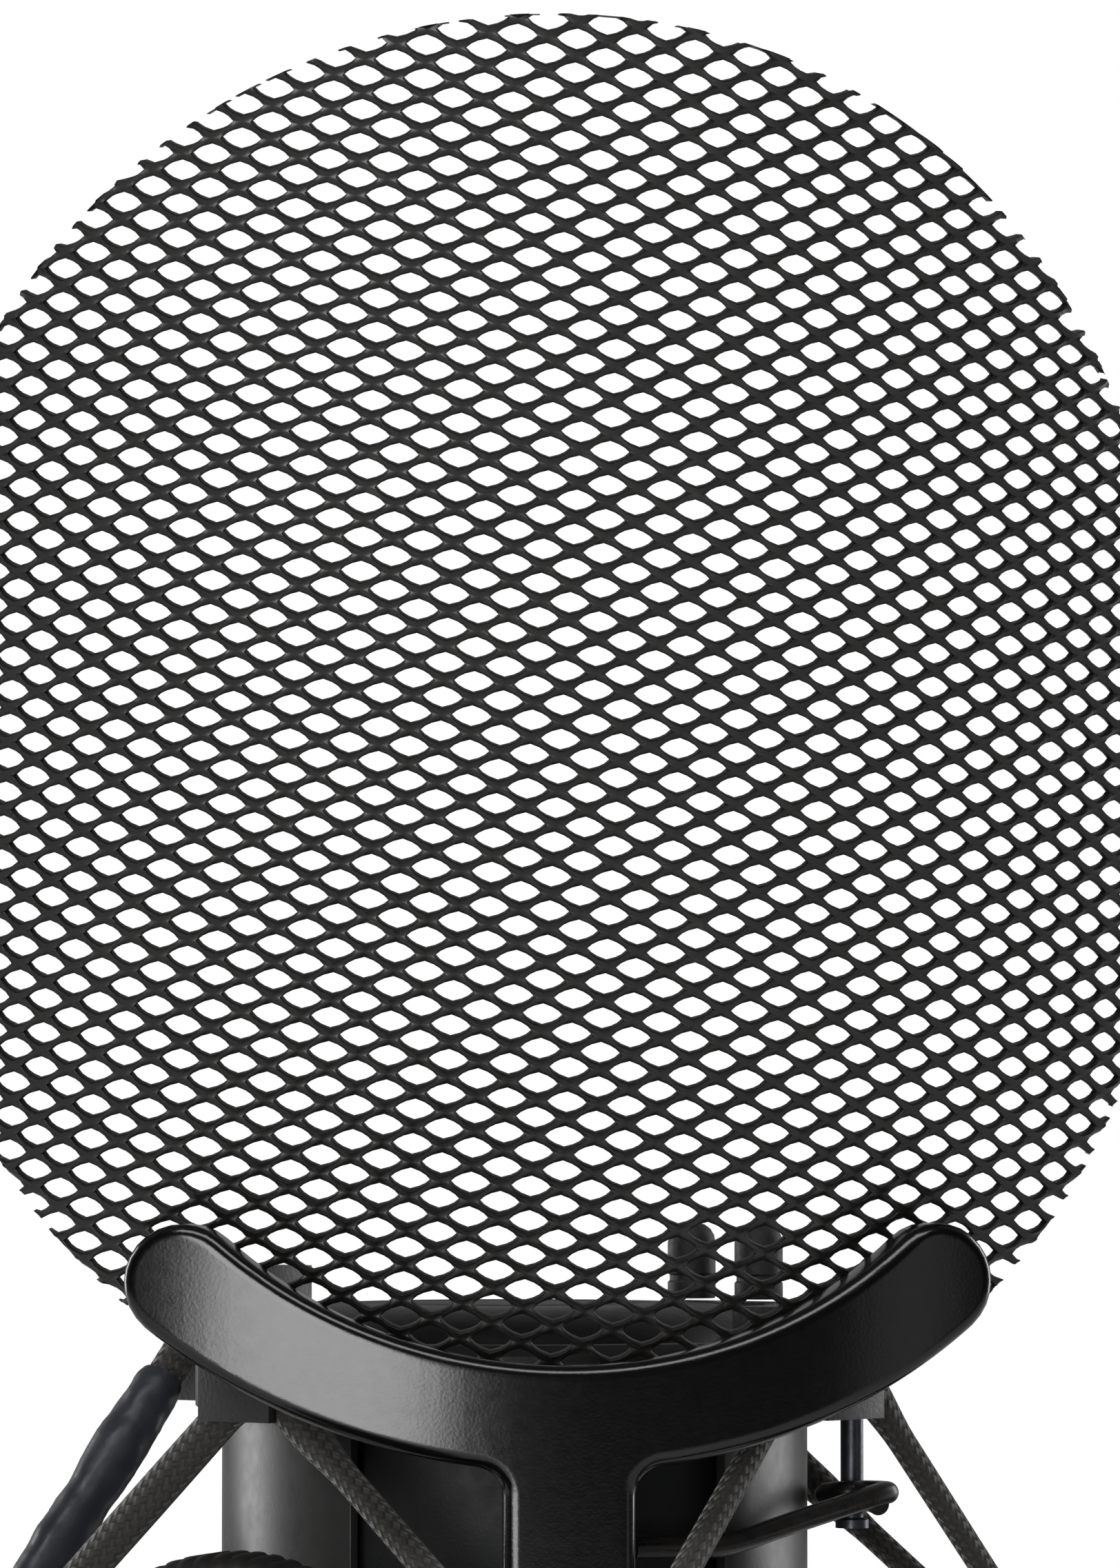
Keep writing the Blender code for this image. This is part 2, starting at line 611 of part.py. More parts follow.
def swivel(metal, steel, plastic, brass):
    """The fork on the back of the ring, and the block it tilts on, which takes the stand."""
    pad = rectangle(67.4 * MM, 72 * MM, RING_Z - 8 * MM, RING_Z + 8 * MM)
    fork = turned("swivel_fork", pad, metal, 6, 90 - 9, 18)
    for side in (-1, 1):
        bm = bmesh.new()
        low, high = sorted((side * EAR[0], side * EAR[1]))
        box(bm, (low, 70 * MM, PIVOT_Z - 7 * MM), (high, REACH, PIVOT_Z + 7 * MM))
        boolean(fork, helper(f"fork_arm_{side + 1}", bm), "UNION")
        bm = bmesh.new()
        rod(bm, (low, REACH, PIVOT_Z), (high, REACH, PIVOT_Z), EAR_RADIUS, 28)
        boolean(fork, helper(f"fork_ear_{side + 1}", bm), "UNION")
    bm = bmesh.new()
    rod(bm, (-20 * MM, REACH, PIVOT_Z), (20 * MM, REACH, PIVOT_Z), 3.2 * MM, 16)
    bolt_hole = helper("cut_bolt", bm)
    boolean(fork, bolt_hole)
    for name, height in (("fork_screw_lower", -2.5 * MM), ("fork_screw_upper", 2.5 * MM)):
        radial_hole(fork, 90, RING_Z + height, 1.75 * MM, 66 * MM, 74 * MM)
        outline = screw_outline(2.2 * MM, 1.6 * MM, 1.4 * MM, 7.5 * MM)
        start = Vector((0, 73.9 * MM, RING_Z + height))
        aimed(name, outline, steel, start, Vector((0, -1, 0)), 12)
    block = [
        (0, SOCKET_TOP),
        (SOCKET_RADIUS - 2.5 * MM, SOCKET_TOP),
        (SOCKET_RADIUS, SOCKET_TOP - 2.5 * MM),
        (SOCKET_RADIUS, -COLLAR_HEIGHT),
        (0, -COLLAR_HEIGHT),
    ]
    socket = turned("swivel_block", block, metal, 28, location=HOME + Vector((0, REACH, 0)))
    bm = bmesh.new()
    box(bm, (-TONGUE_HALF, -6 * MM, SOCKET_TOP - MM), (TONGUE_HALF, 6 * MM, PIVOT_Z))
    boolean(socket, helper("tongue_neck", bm, HOME + Vector((0, REACH, 0))), "UNION")
    bm = bmesh.new()
    rod(bm, (-TONGUE_HALF, REACH, PIVOT_Z), (TONGUE_HALF, REACH, PIVOT_Z), EAR_RADIUS, 28)
    boolean(socket, helper("tongue_eye", bm), "UNION")
    boolean(socket, bolt_hole)
    bm = bmesh.new()
    low = -COLLAR_HEIGHT - MM
    rod(bm, (0, REACH, low), (0, REACH, -COLLAR_HEIGHT + 24 * MM), 10.3 * MM, 32)
    boolean(socket, helper("cut_socket", bm))
    insert = rectangle(7.95 * MM, 10 * MM, -COLLAR_HEIGHT, -COLLAR_HEIGHT + 22 * MM)
    turned("thread_insert", insert, brass, 24, location=HOME + Vector((0, REACH, 0)))
    for name, side in (("friction_washer_left", -1), ("friction_washer_right", 1)):
        ring = rectangle(3.4 * MM, 8.5 * MM, WASHER[0], WASHER[1])
        aimed(name, ring, plastic, Vector((0, REACH, PIVOT_Z)), Vector((side, 0, 0)), 16)
    bolt = [
        (0, -14.2 * MM),
        (5 * MM, -14.2 * MM),
        (5 * MM, -9.8 * MM),
        (2.9 * MM, -9.8 * MM),
        (2.9 * MM, 18 * MM),
        (0, 18 * MM),
    ]
    aimed("swivel_bolt", bolt, steel, Vector((0, REACH, PIVOT_Z)), Vector((1, 0, 0)), 16)
    knob = [
        (3.2 * MM, 9.8 * MM),
        (7 * MM, 9.8 * MM),
        (7.6 * MM, 12 * MM),
        (12.5 * MM, 12.6 * MM),
        (13 * MM, 14 * MM),
        (13 * MM, 21 * MM),
        (11 * MM, 23 * MM),
        (0, 23.4 * MM),
        (0, 18.4 * MM),
        (3.2 * MM, 18.4 * MM),
    ]
    aimed("swivel_knob", knob, plastic, Vector((0, REACH, PIVOT_Z)), Vector((1, 0, 0)), 24)


# ---------------------------------------------------------------- basket


def lug_box(angle, half_width, outer, low, high):
    bm = bmesh.new()
    start = (29.5 * MM, -half_width, low)
    box(bm, start, (outer, half_width, high), angle)
    return helper(f"collar_lug_{angle}_{round(low / MM)}", bm)


def basket(shell_metal, dark_metal, rubber, steel, cutters):
    start = FRONT + BASKET_GAP_HALF_ANGLE
    sweep = 360 - 2 * BASKET_GAP_HALF_ANGLE
    wall = rectangle(BASKET_INNER, BASKET_OUTER, LOWER_COLLAR[0] + MM, COLLAR_TOP - 1.2 * MM)
    shell = turned("basket_shell", wall, shell_metal, 36, start, sweep)
    for angle in (60, 90, 120):
        bm = bmesh.new()
        box(bm, (20 * MM, -1.6 * MM, -60 * MM), (32 * MM, 1.6 * MM, -12 * MM), angle)
        boolean(shell, helper(f"cut_slot_{angle}", bm))
    inner = BASKET_OUTER + GAP
    lip = 26.3 * MM
    collar = [
        (inner, 0),
        (COLLAR_OUTER - 0.6 * MM, 0),
        (COLLAR_OUTER, 0.6 * MM),
        (COLLAR_OUTER, COLLAR_TOP - MM),
        (COLLAR_OUTER - MM, COLLAR_TOP),
        (lip, COLLAR_TOP),
        (lip, COLLAR_TOP - 0.9 * MM),
        (inner, COLLAR_TOP - 0.9 * MM),
    ]
    top = turned("top_collar", collar, dark_metal, 36)
    for angle, height in LUG_TOPS.items():
        boolean(top, lug_box(angle, LUG_HALF_WIDTH, 40.6 * MM, 0.1 * MM, height), "UNION")
    end_lug = lug_box(REAR_RIGHT, 7.5 * MM, 36.8 * MM, 0.1 * MM, END_LUG_TOP - 0.3 * MM)
    boolean(top, end_lug, "UNION")
    for turn in CLAMP_TURNS.values():
        tab = lug_box(POST_ANGLE + turn, 2.2 * MM, POST_RADIUS_OUT + 1.8 * MM, 0.1 * MM, 2.4 * MM)
        boolean(top, tab, "UNION")
    boolean(top, cutters[0])
    low, high = LOWER_COLLAR
    collar = [
        (lip, low),
        (COLLAR_OUTER, low),
        (COLLAR_OUTER, high - 0.6 * MM),
        (COLLAR_OUTER - 0.6 * MM, high),
        (inner, high),
        (inner, low + 0.7 * MM),
        (lip, low + 0.7 * MM),
    ]
    bottom = turned("bottom_collar", collar, dark_metal, 36)
    for angle in range(0, 360, 90):
        boolean(bottom, lug_box(angle, LUG_HALF_WIDTH, 40.6 * MM, -77 * MM, -66 * MM), "UNION")
    boolean(bottom, cutters[1])
    for name, angle in (("left", 168), ("right", 12), ("rear", 90)):
        pad = rectangle(BODY_OUTER + 0.35 * MM, BASKET_INNER - GAP, -64 * MM, -8 * MM)
        turned(f"basket_pad_{name}", pad, rubber, 4, angle - 12, 24)
    for name, turn in CLAMP_TURNS.items():
        clamp_wire(name, turn, steel)


def smooth(points, steps=5):
    """A Catmull-Rom curve through the points."""
    path = []
    for i in range(len(points) - 1):
        before = points[max(i - 1, 0)]
        start, end = points[i], points[i + 1]
        after = points[min(i + 2, len(points) - 1)]
        for step in range(steps):
            t = step / steps
            path.append(
                0.5
                * (
                    2 * start
                    + (end - before) * t
                    + (2 * before - 5 * start + 4 * end - after) * t**2
                    + (3 * start - before - 3 * end + after) * t**3
                )
            )
    path.append(points[-1])
    return path


def clamp_wire(name, turn, steel):
    """A sprung wire hooked round a post: it hugs the basket, stands out in a loop and returns."""
    hug = BASKET_OUTER + WIRE_RADIUS + 0.35 * MM
    post = around(POST_ANGLE + turn, POST_RADIUS_OUT)
    route = [around(angle + turn, hug, -11.6 * MM) for angle in (286, 292, 299, 306)]
    tip = around(LOOP_ANGLE + turn, LOOP_REACH, -7.6 * MM)
    leg = tip - route[-1]
    route += [route[-1] + leg * share for share in (0.4, 0.75)]
    forward = Vector((leg.x, leg.y, 0)).normalized()
    inward = Vector((-forward.y, forward.x, 0))
    centre = tip + inward * LOOP_RADIUS
    for angle in (0, 60, 120, 180):
        a = math.radians(angle)
        route.append(centre + (forward * math.sin(a) - inward * math.cos(a)) * LOOP_RADIUS)
    eye = POST_RADIUS + WIRE_RADIUS + 0.4 * MM
    first = (route[-1] - post).to_2d()
    angle = math.atan2(first.y, first.x)
    for step in range(1, 8):
        a = angle - step * 0.65
        drop = tip.z - step * 0.2 * MM
        route.append(post + Vector((math.cos(a) * eye, math.sin(a) * eye, drop)))
    bm = bmesh.new()
    tube(bm, smooth(route, 2), WIRE_RADIUS, 6)
    finish(f"clamp_wire_{name}", bm, steel)
    outline = [
        (0, -11.2 * MM),
        (1.6 * MM, -11.2 * MM),
        (1.6 * MM, -10.4 * MM),
        (POST_RADIUS, -10.2 * MM),
        (POST_RADIUS, -GAP),
        (0, -GAP),
    ]
    turned(f"clamp_post_{name}", outline, steel, 12, location=HOME + post)


# ---------------------------------------------------------------- microphone


def wall_cutter(name, inner, outer, low, high, angle, half_angle, segments=10):
    bm = bmesh.new()
    revolve(bm, rectangle(inner, outer, low, high), segments, angle - half_angle, 2 * half_angle)
    return helper(name, bm)


def microphone_shell(satin, grille_metal, steel):
    tube_wall = rectangle(BODY_INNER, BODY_OUTER, BODY_BOTTOM, BODY_TOP)
    body = turned("body_tube", tube_wall, satin, 40)
    for name, angle in (("front", 270), ("rear", 90)):
        low, high = WINDOW
        cutter = wall_cutter(f"cut_{name}", 22 * MM, 28 * MM, low, high, angle, WINDOW_HALF_ANGLE)
        boolean(body, cutter)
        grille = rectangle(BODY_INNER + 0.2 * MM, BODY_OUTER - 0.1 * MM, low + GAP, high - GAP)
        half = WINDOW_HALF_ANGLE - 0.8
        turned(f"{name}_grille", grille, grille_metal, 14, angle - half, 2 * half)
    for name, angle in SWITCHES:
        low, high = SWITCH_Z - 4.2 * MM, SWITCH_Z + 4.2 * MM
        boolean(body, wall_cutter(f"cut_{name}", 22 * MM, 28 * MM, low, high, angle, 4.2, 2))
    cap = [
        (0, -2 * MM),
        (BODY_INNER - GAP, -2 * MM),
        (BODY_INNER - GAP, BODY_TOP + GAP),
        (BODY_OUTER, BODY_TOP + GAP),
        (BODY_OUTER - 0.5 * MM, 6.2 * MM),
        (23 * MM, 8.4 * MM),
        (20 * MM, 9.8 * MM),
        (17 * MM, 10.2 * MM),
        (0, 10.2 * MM),
    ]
    turned("top_cap", cap, satin, 32)
    base = [
        (10.4 * MM, BODY_BOTTOM + 2 * MM),
        (BODY_INNER - GAP, BODY_BOTTOM + 2 * MM),
        (BODY_INNER - GAP, BODY_BOTTOM - GAP),
        (BODY_OUTER, BODY_BOTTOM - GAP),
        (BODY_OUTER, -107 * MM),
        (23.4 * MM, -110 * MM),
        (14 * MM, -116 * MM),
        (10.4 * MM, -116 * MM),
    ]
    turned("base_ring", base, satin, 32)


def microphone_inside(gold, brass, rubber, board, dark, steel):
    front = Vector((0, -1, 0))
    spot = Vector((0, 0, CAPSULE_Z))
    ring = [
        (15 * MM, -4.2 * MM),
        (17 * MM, -4.2 * MM),
        (17 * MM, 4.2 * MM),
        (15 * MM, 4.2 * MM),
    ]
    aimed("capsule_ring", ring, brass, spot, front, 24)
    plate = [(0, -1.6 * MM), (14.6 * MM, -1.6 * MM), (14.6 * MM, 1.6 * MM), (0, 1.6 * MM)]
    aimed("backplate", plate, brass, spot, front, 24)
    for name, low in (("front_diaphragm", 1.95 * MM), ("rear_diaphragm", -2.45 * MM)):
        disc = [(0, low), (14.6 * MM, low), (14.6 * MM, low + 0.5 * MM), (0, low + 0.5 * MM)]
        aimed(name, disc, gold, spot, front, 24)
    saddle = [(0, -61 * MM), (7 * MM, -61 * MM), (5 * MM, -58 * MM), (5 * MM, -55.6 * MM), (0, -55.6 * MM)]
    turned("capsule_saddle", saddle, rubber, 24)
    deck = [(0, -64 * MM), (23.4 * MM, -64 * MM), (23.4 * MM, -61.4 * MM), (0, -61.4 * MM)]
    turned("chassis_deck", deck, steel, 24)
    for name, x in (("left", -19 * MM), ("right", 17 * MM)):
        bm = bmesh.new()
        box(bm, (x, -4 * MM, -101.6 * MM), (x + 2 * MM, 4 * MM, -64.4 * MM))
        finish(f"chassis_rail_{name}", bm, steel)
    bm = bmesh.new()
    box(bm, (-15.5 * MM, 1 * MM, -98 * MM), (15.5 * MM, 2.6 * MM, -66 * MM))
    finish("circuit_board", bm, board)
    bm = bmesh.new()
    box(bm, (-11 * MM, 3 * MM, -96 * MM), (7 * MM, 17 * MM, -78 * MM))
    bevel(finish("output_transformer", bm, dark), 1 * MM, 1)
    can = [(0, 0), (4.3 * MM, 0), (4.3 * MM, 5.5 * MM), (3.6 * MM, 6.2 * MM), (0, 6.2 * MM)]
    aimed("input_transistor", can, steel, Vector((-5 * MM, 0.7 * MM, -72 * MM)), front, 20)
    can = [(0, 0), (3.4 * MM, 0), (3.4 * MM, 9 * MM), (0, 9 * MM)]
    aimed("coupling_capacitor", can, dark, Vector((7 * MM, 0.7 * MM, -72 * MM)), front, 20)
    bm = bmesh.new()
    box(bm, (-13 * MM, -16 * MM, SWITCH_Z - 6 * MM), (13 * MM, -8 * MM, SWITCH_Z + 6 * MM))
    bevel(finish("switch_housing", bm, dark), 0.6 * MM, 1)
    for name, angle in SWITCHES:
        bm = bmesh.new()
        start = (18.8 * MM, -1.2 * MM, SWITCH_Z - 1.5 * MM - SWITCH_TRAVEL / 2)
        end = (26 * MM, 1.2 * MM, SWITCH_Z + 1.5 * MM - SWITCH_TRAVEL / 2)
        box(bm, start, end, angle)
        bevel(finish(name, bm, dark), 0.3 * MM, 1)


def connector(steel, dark, brass):
    """The three-pin socket in the microphone's foot."""
    shell = [
        (8.9 * MM, -115 * MM),
        (10 * MM, -115 * MM),
        (10 * MM, -99.6 * MM),
        (8.9 * MM, -99.6 * MM),
    ]
    turned("xlr_shell", shell, steel, 20)
    insert = [(0, -103 * MM), (8.5 * MM, -103 * MM), (8.5 * MM, -99.8 * MM), (0, -99.8 * MM)]
    turned("xlr_insert", insert, dark, 20)
    for number, angle in enumerate((150, 30, 270), 1):
        place = around(angle, 4.3 * MM, -103 * MM - GAP)
        pin = [(0, 0), (1.2 * MM, 0), (1.2 * MM, 8.5 * MM), (0.7 * MM, 9.3 * MM), (0, 9.3 * MM)]
        aimed(f"xlr_pin_{number}", pin, brass, place, Vector((0, 0, -1)), 10)


def main():
    clear_scene()
    screen_black = material("black_expanded_metal", (0.022, 0.021, 0.022), 0.45, 0.4)
    satin_black = material("satin_black_plastic", (0.03, 0.031, 0.034), 0.42)
    coated = material("black_coated_metal", (0.025, 0.025, 0.027), 0.5, 0.3)
    grey_satin = material("satin_grey_metal", (0.16, 0.165, 0.17), 0.42, 0.8)
    body_black = material("satin_black_lacquer", (0.02, 0.021, 0.024), 0.38, 0.2)
    steel = material("dark_steel", (0.3, 0.3, 0.31), 0.35, 1.0)
    brass = material("brass", (0.6, 0.43, 0.16), 0.3, 1.0)
    gold = material("gold_film", (0.83, 0.62, 0.25), 0.25, 1.0)
    rubber = material("black_rubber", (0.02, 0.02, 0.021), 0.7)
    sleeve = material("blue_grey_sleeve", (0.05, 0.058, 0.07), 0.45)
    braid = material("braided_elastic", (0.05, 0.045, 0.038), 0.85)
    board = material("circuit_board_green", (0.02, 0.11, 0.05), 0.5)
    knob_brown = material("brown_black_plastic", (0.024, 0.018, 0.016), 0.4)
    pop_shield(screen_black, satin_black, steel)
    cutters = cords(braid, rubber, sleeve)
    outer_ring(coated, cutters)
    shield_bracket(coated, steel, knob_brown)
    swivel(coated, steel, knob_brown, brass)
    basket(grey_satin, coated, rubber, steel, cutters)
    microphone_shell(body_black, coated, steel)
    microphone_inside(gold, brass, rubber, board, body_black, steel)
    connector(steel, body_black, brass)


main()
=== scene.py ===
"""Detailed render scene of the condenser microphone in its elastic shock mount.

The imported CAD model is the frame. Pieces made here stand for CAD nodes that need finer
shape, and every CAD node that stays gets a procedural material. Metres, +Z up, front -Y.
"""

import bisect
import math

import bmesh
import bpy
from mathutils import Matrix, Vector, noise


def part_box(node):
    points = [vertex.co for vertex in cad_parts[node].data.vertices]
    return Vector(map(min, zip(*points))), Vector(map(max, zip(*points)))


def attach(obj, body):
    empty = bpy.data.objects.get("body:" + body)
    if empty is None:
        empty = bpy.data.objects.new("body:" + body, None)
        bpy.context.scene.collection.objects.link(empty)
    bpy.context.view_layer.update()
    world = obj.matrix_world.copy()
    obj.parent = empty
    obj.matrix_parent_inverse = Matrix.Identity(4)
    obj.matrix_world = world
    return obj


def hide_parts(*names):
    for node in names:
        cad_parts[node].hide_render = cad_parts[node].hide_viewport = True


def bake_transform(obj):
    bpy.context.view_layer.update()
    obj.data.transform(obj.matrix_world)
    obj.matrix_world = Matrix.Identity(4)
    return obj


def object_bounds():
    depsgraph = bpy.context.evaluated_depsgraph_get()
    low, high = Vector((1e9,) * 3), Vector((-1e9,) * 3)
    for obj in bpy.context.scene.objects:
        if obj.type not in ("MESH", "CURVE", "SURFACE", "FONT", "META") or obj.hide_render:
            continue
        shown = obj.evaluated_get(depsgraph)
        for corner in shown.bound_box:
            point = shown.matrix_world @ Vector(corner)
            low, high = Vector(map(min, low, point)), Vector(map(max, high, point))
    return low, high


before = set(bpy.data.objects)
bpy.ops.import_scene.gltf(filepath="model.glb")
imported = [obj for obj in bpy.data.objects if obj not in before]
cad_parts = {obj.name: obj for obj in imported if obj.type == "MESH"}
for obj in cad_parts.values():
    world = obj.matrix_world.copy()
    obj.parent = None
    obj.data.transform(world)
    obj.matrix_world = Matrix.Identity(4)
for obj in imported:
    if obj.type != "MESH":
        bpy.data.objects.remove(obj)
cad_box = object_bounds()

MM = 0.001
GAP = 0.3 * MM
WHITE = (1.0, 1.0, 1.0, 1.0)

# HOME is the microphone's axis at the lower edge of the top collar.
body_low, body_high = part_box("body_tube")
HOME = Vector((0, (body_low.y + body_high.y) / 2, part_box("top_collar")[0].z))
REACH = -HOME.y
FRONT, FRONT_LEFT, FRONT_RIGHT, REAR_RIGHT, REAR_LEFT = 270, 225, 315, 45, 135

# Pop shield.
SCREEN_RADIUS = 65 * MM
SCREEN_BEND = 95 * MM
SCREEN_Y = -44.3 * MM
SCREEN_Z = 62.3 * MM
CELL_WIDTH = 5.42 * MM
CELL_HEIGHT = 3.088 * MM
CELL_TURN = -3.8
CELL_SHIFT = (-0.3 * MM, -0.6 * MM)
HOLE_HALF = (1.86 * MM, 1.02 * MM)
HOLE_POWER = 1.35
STRAND_THICK = 0.8 * MM
STRAND_TILT = 0.25 * MM
STRAND_LEAN = 0.26 * MM
CRADLE_HALF_WIDTH = 38.6 * MM
CRADLE_INNER_RADIUS = 45.5 * MM
CRADLE_INNER_LOW = 5.75 * MM
CRADLE_OUTER_RADIUS = 59.2 * MM
CRADLE_OUTER_LOW = -3.7 * MM
CRADLE_TIP_RADIUS = 5.2 * MM
CRADLE_FRONT = (1.2 * MM, 5.2 * MM)
CRADLE_BACK = (-3.4 * MM, -1.2 * MM)
STEM_HALF_WIDTH = 5.65 * MM
STEM_FRONT = 4.2 * MM
STEM_FILLET = 2.6 * MM
STEM_BOTTOM = -90 * MM
STEM_STEP = (-13.6 * MM, -16.6 * MM)

# Elastic cords.
CORD_RADIUS = 1.85 * MM
CORD_TURN = 6 * MM
SLACK_SIDE = -26 * MM
UPPER_THINNER = 0.52 * MM
LOWER_THINNER = 0.3 * MM
# Heights between which each cord turns from following the ring to following the basket.
UPPER_BLEND = (-26 * MM, -2 * MM)
LOWER_BLEND = (-38 * MM, -68 * MM)
KNEE = -3 * MM
SLEEVE_START = 13 * MM
SLEEVE_LENGTH = 27 * MM
END_LUG_TOP = 10 * MM
END_SPREAD = 4.2 * MM
END_RADIUS = 33 * MM
UPPER_PEAKS = {
    FRONT_RIGHT: (37 * MM, 9 * MM),
    FRONT_LEFT: (37 * MM, 4.2 * MM),
    REAR_LEFT: (37 * MM, 12 * MM),
}
UPPER_VALLEYS = {
    0: (56 * MM, -32 * MM),
    270: (60 * MM, -27.3 * MM),
    180: (56 * MM, -32 * MM),
    90: (58 * MM, -29 * MM),
}
LOWER_PEAK = (58 * MM, -33 * MM)
LOWER_VALLEY = (37 * MM, -73 * MM)

# Clamp wires on the basket: the second is the first one turned round the axis.
CLAMP_TURNS = {"right": 0, "rear": 120}
BASKET_OUTER = 28.0 * MM
WIRE_RADIUS = 1.05 * MM
POST_ANGLE = 352
POST_RADIUS_OUT = 32.2 * MM
POST_RADIUS = 1.1 * MM
LOOP_ANGLE = 341.5
LOOP_REACH = 35.5 * MM
LOOP_RADIUS = 2.2 * MM
LOOP_Z = -7.6 * MM
HUG_Z = -11.6 * MM

# Knobs.
KNOB_ANGLE = 246
KNOB_Z = -24.7 * MM
KNOB_RADIUS = 15.5 * MM
KNOB_START = 71.2 * MM
KNOB_LENGTH = 11 * MM
PIVOT_Z = -27 * MM
LOCK_Z = -46 * MM

# Microphone.
BODY_OUTER = 25.4 * MM
BODY_INNER = 24.0 * MM
BODY_TOP = 4.0 * MM
WINDOW = (-58 * MM, -18 * MM)
WINDOW_HALF_ANGLE = 36

# Camera and floor.
CAMERA_YAW = 6.1
CAMERA_BACK = 0.662
CAMERA_RIGHT = 0.0043
CAMERA_UP = 0.026
CAMERA_SLOPE = 0.0513
CAMERA_LENS = 105.5
FLOOR_SIDES = 96


# ---------------------------------------------------------------- camera, stage and light


def make_camera():
    """A little above the collar, a little to the left of square on, tipped up slightly."""
    yaw = math.radians(CAMERA_YAW)
    forward = Vector((math.sin(yaw), math.cos(yaw), 0))
    right = Vector((math.cos(yaw), -math.sin(yaw), 0))
    data = bpy.data.cameras.new("camera")
    made = bpy.data.objects.new("camera", data)
    bpy.context.collection.objects.link(made)
    made.location = HOME - forward * CAMERA_BACK + right * CAMERA_RIGHT + Vector((0, 0, CAMERA_UP))
    pitch = math.atan(CAMERA_SLOPE)
    look = forward * math.cos(pitch) + Vector((0, 0, math.sin(pitch)))
    made.rotation_euler = look.to_track_quat("-Z", "Y").to_euler()
    data.sensor_fit = "VERTICAL"
    data.sensor_height = 24
    data.lens = CAMERA_LENS
    data.clip_start = 0.01
    bpy.context.scene.camera = made


def area_light(name, place, target, size, watts):
    """A rectangular light at a place, facing a target."""
    data = bpy.data.lights.new(name, "AREA")
    data.shape = "RECTANGLE"
    data.size, data.size_y = size
    data.energy = watts
    made = bpy.data.objects.new(name, data)
    bpy.context.collection.objects.link(made)
    made.location = Vector(place)
    made.rotation_euler = (Vector(target) - Vector(place)).to_track_quat("-Z", "Y").to_euler()


def make_world():
    """Plain white to the camera; to the object a dim surround, brighter from behind than from the front."""
    world = bpy.data.worlds.new("studio")
    bpy.context.scene.world = world
    world.use_nodes = True
    tree = world.node_tree
    tree.nodes.clear()
    out = tree.nodes.new("ShaderNodeOutputWorld")
    mix = tree.nodes.new("ShaderNodeMixShader")
    path = tree.nodes.new("ShaderNodeLightPath")
    seen = tree.nodes.new("ShaderNodeBackground")
    seen.inputs["Color"].default_value = WHITE
    seen.inputs["Strength"].default_value = 1.0
    lit = tree.nodes.new("ShaderNodeBackground")
    lit.inputs["Color"].default_value = WHITE
    place = tree.nodes.new("ShaderNodeTexCoord")
    split = tree.nodes.new("ShaderNodeSeparateXYZ")
    strength = tree.nodes.new("ShaderNodeMapRange")
    strength.inputs["From Min"].default_value = -0.15
    strength.inputs["From Max"].default_value = 0.9
    strength.inputs["To Min"].default_value = 0.012
    strength.inputs["To Max"].default_value = 0.35
    link = tree.links.new
    link(place.outputs["Generated"], split.inputs[0])
    link(split.outputs["Y"], strength.inputs["Value"])
    link(strength.outputs["Result"], lit.inputs["Strength"])
    link(path.outputs["Is Camera Ray"], mix.inputs["Fac"])
    link(lit.outputs[0], mix.inputs[1])
    link(seen.outputs[0], mix.inputs[2])
    link(mix.outputs[0], out.inputs["Surface"])


def make_stage():
    """Five soft lights round the object, and a round pale floor under it."""
    bpy.context.scene.view_settings.view_transform = "Standard"
    make_world()
    centre = HOME + Vector((0, 0, 0.03))
    area_light("key", centre + Vector((-0.355, -0.905, 0.07)), centre, (0.46, 0.55), 7.0)
    area_light("right_edge", centre + Vector((0.70, -0.70, 0.05)), centre, (0.2, 0.5), 0.16)
    area_light("top", centre + Vector((-0.05, -0.40, 0.72)), centre, (0.8, 0.26), 3.5)
    area_light("back_left", centre + Vector((-0.70, 0.55, 0.05)), centre, (0.3, 0.8), 4.5)
    area_light("back_right", centre + Vector((0.79, 0.38, 0.05)), centre, (0.3, 0.8), 3.5)
    bm = bmesh.new()
    rings = []
    for radius in (0.05, 0.35, 0.7, 1.0):
        rings.append([bm.verts.new((radius * math.cos(a), radius * math.sin(a) - REACH, cad_box[0][2]))
                      for a in (math.tau * k / FLOOR_SIDES for k in range(FLOOR_SIDES))])
    bm.faces.new(rings[0])
    for here, there in zip(rings, rings[1:]):
        for k in range(FLOOR_SIDES):
            j = (k + 1) % FLOOR_SIDES
            bm.faces.new((here[k], there[k], there[j], here[j]))
    mesh = bpy.data.meshes.new("floor")
    bm.to_mesh(mesh)
    bm.free()
    floor = bpy.data.objects.new("floor", mesh)
    bpy.context.collection.objects.link(floor)
    paper = finish_of("floor_paper", (0.80, 0.80, 0.80), (0.84, 0.84, 0.84), 6, 0.9, 0.05, 0.05, 900)
    mesh.materials.append(paper)


# ---------------------------------------------------------------- materials


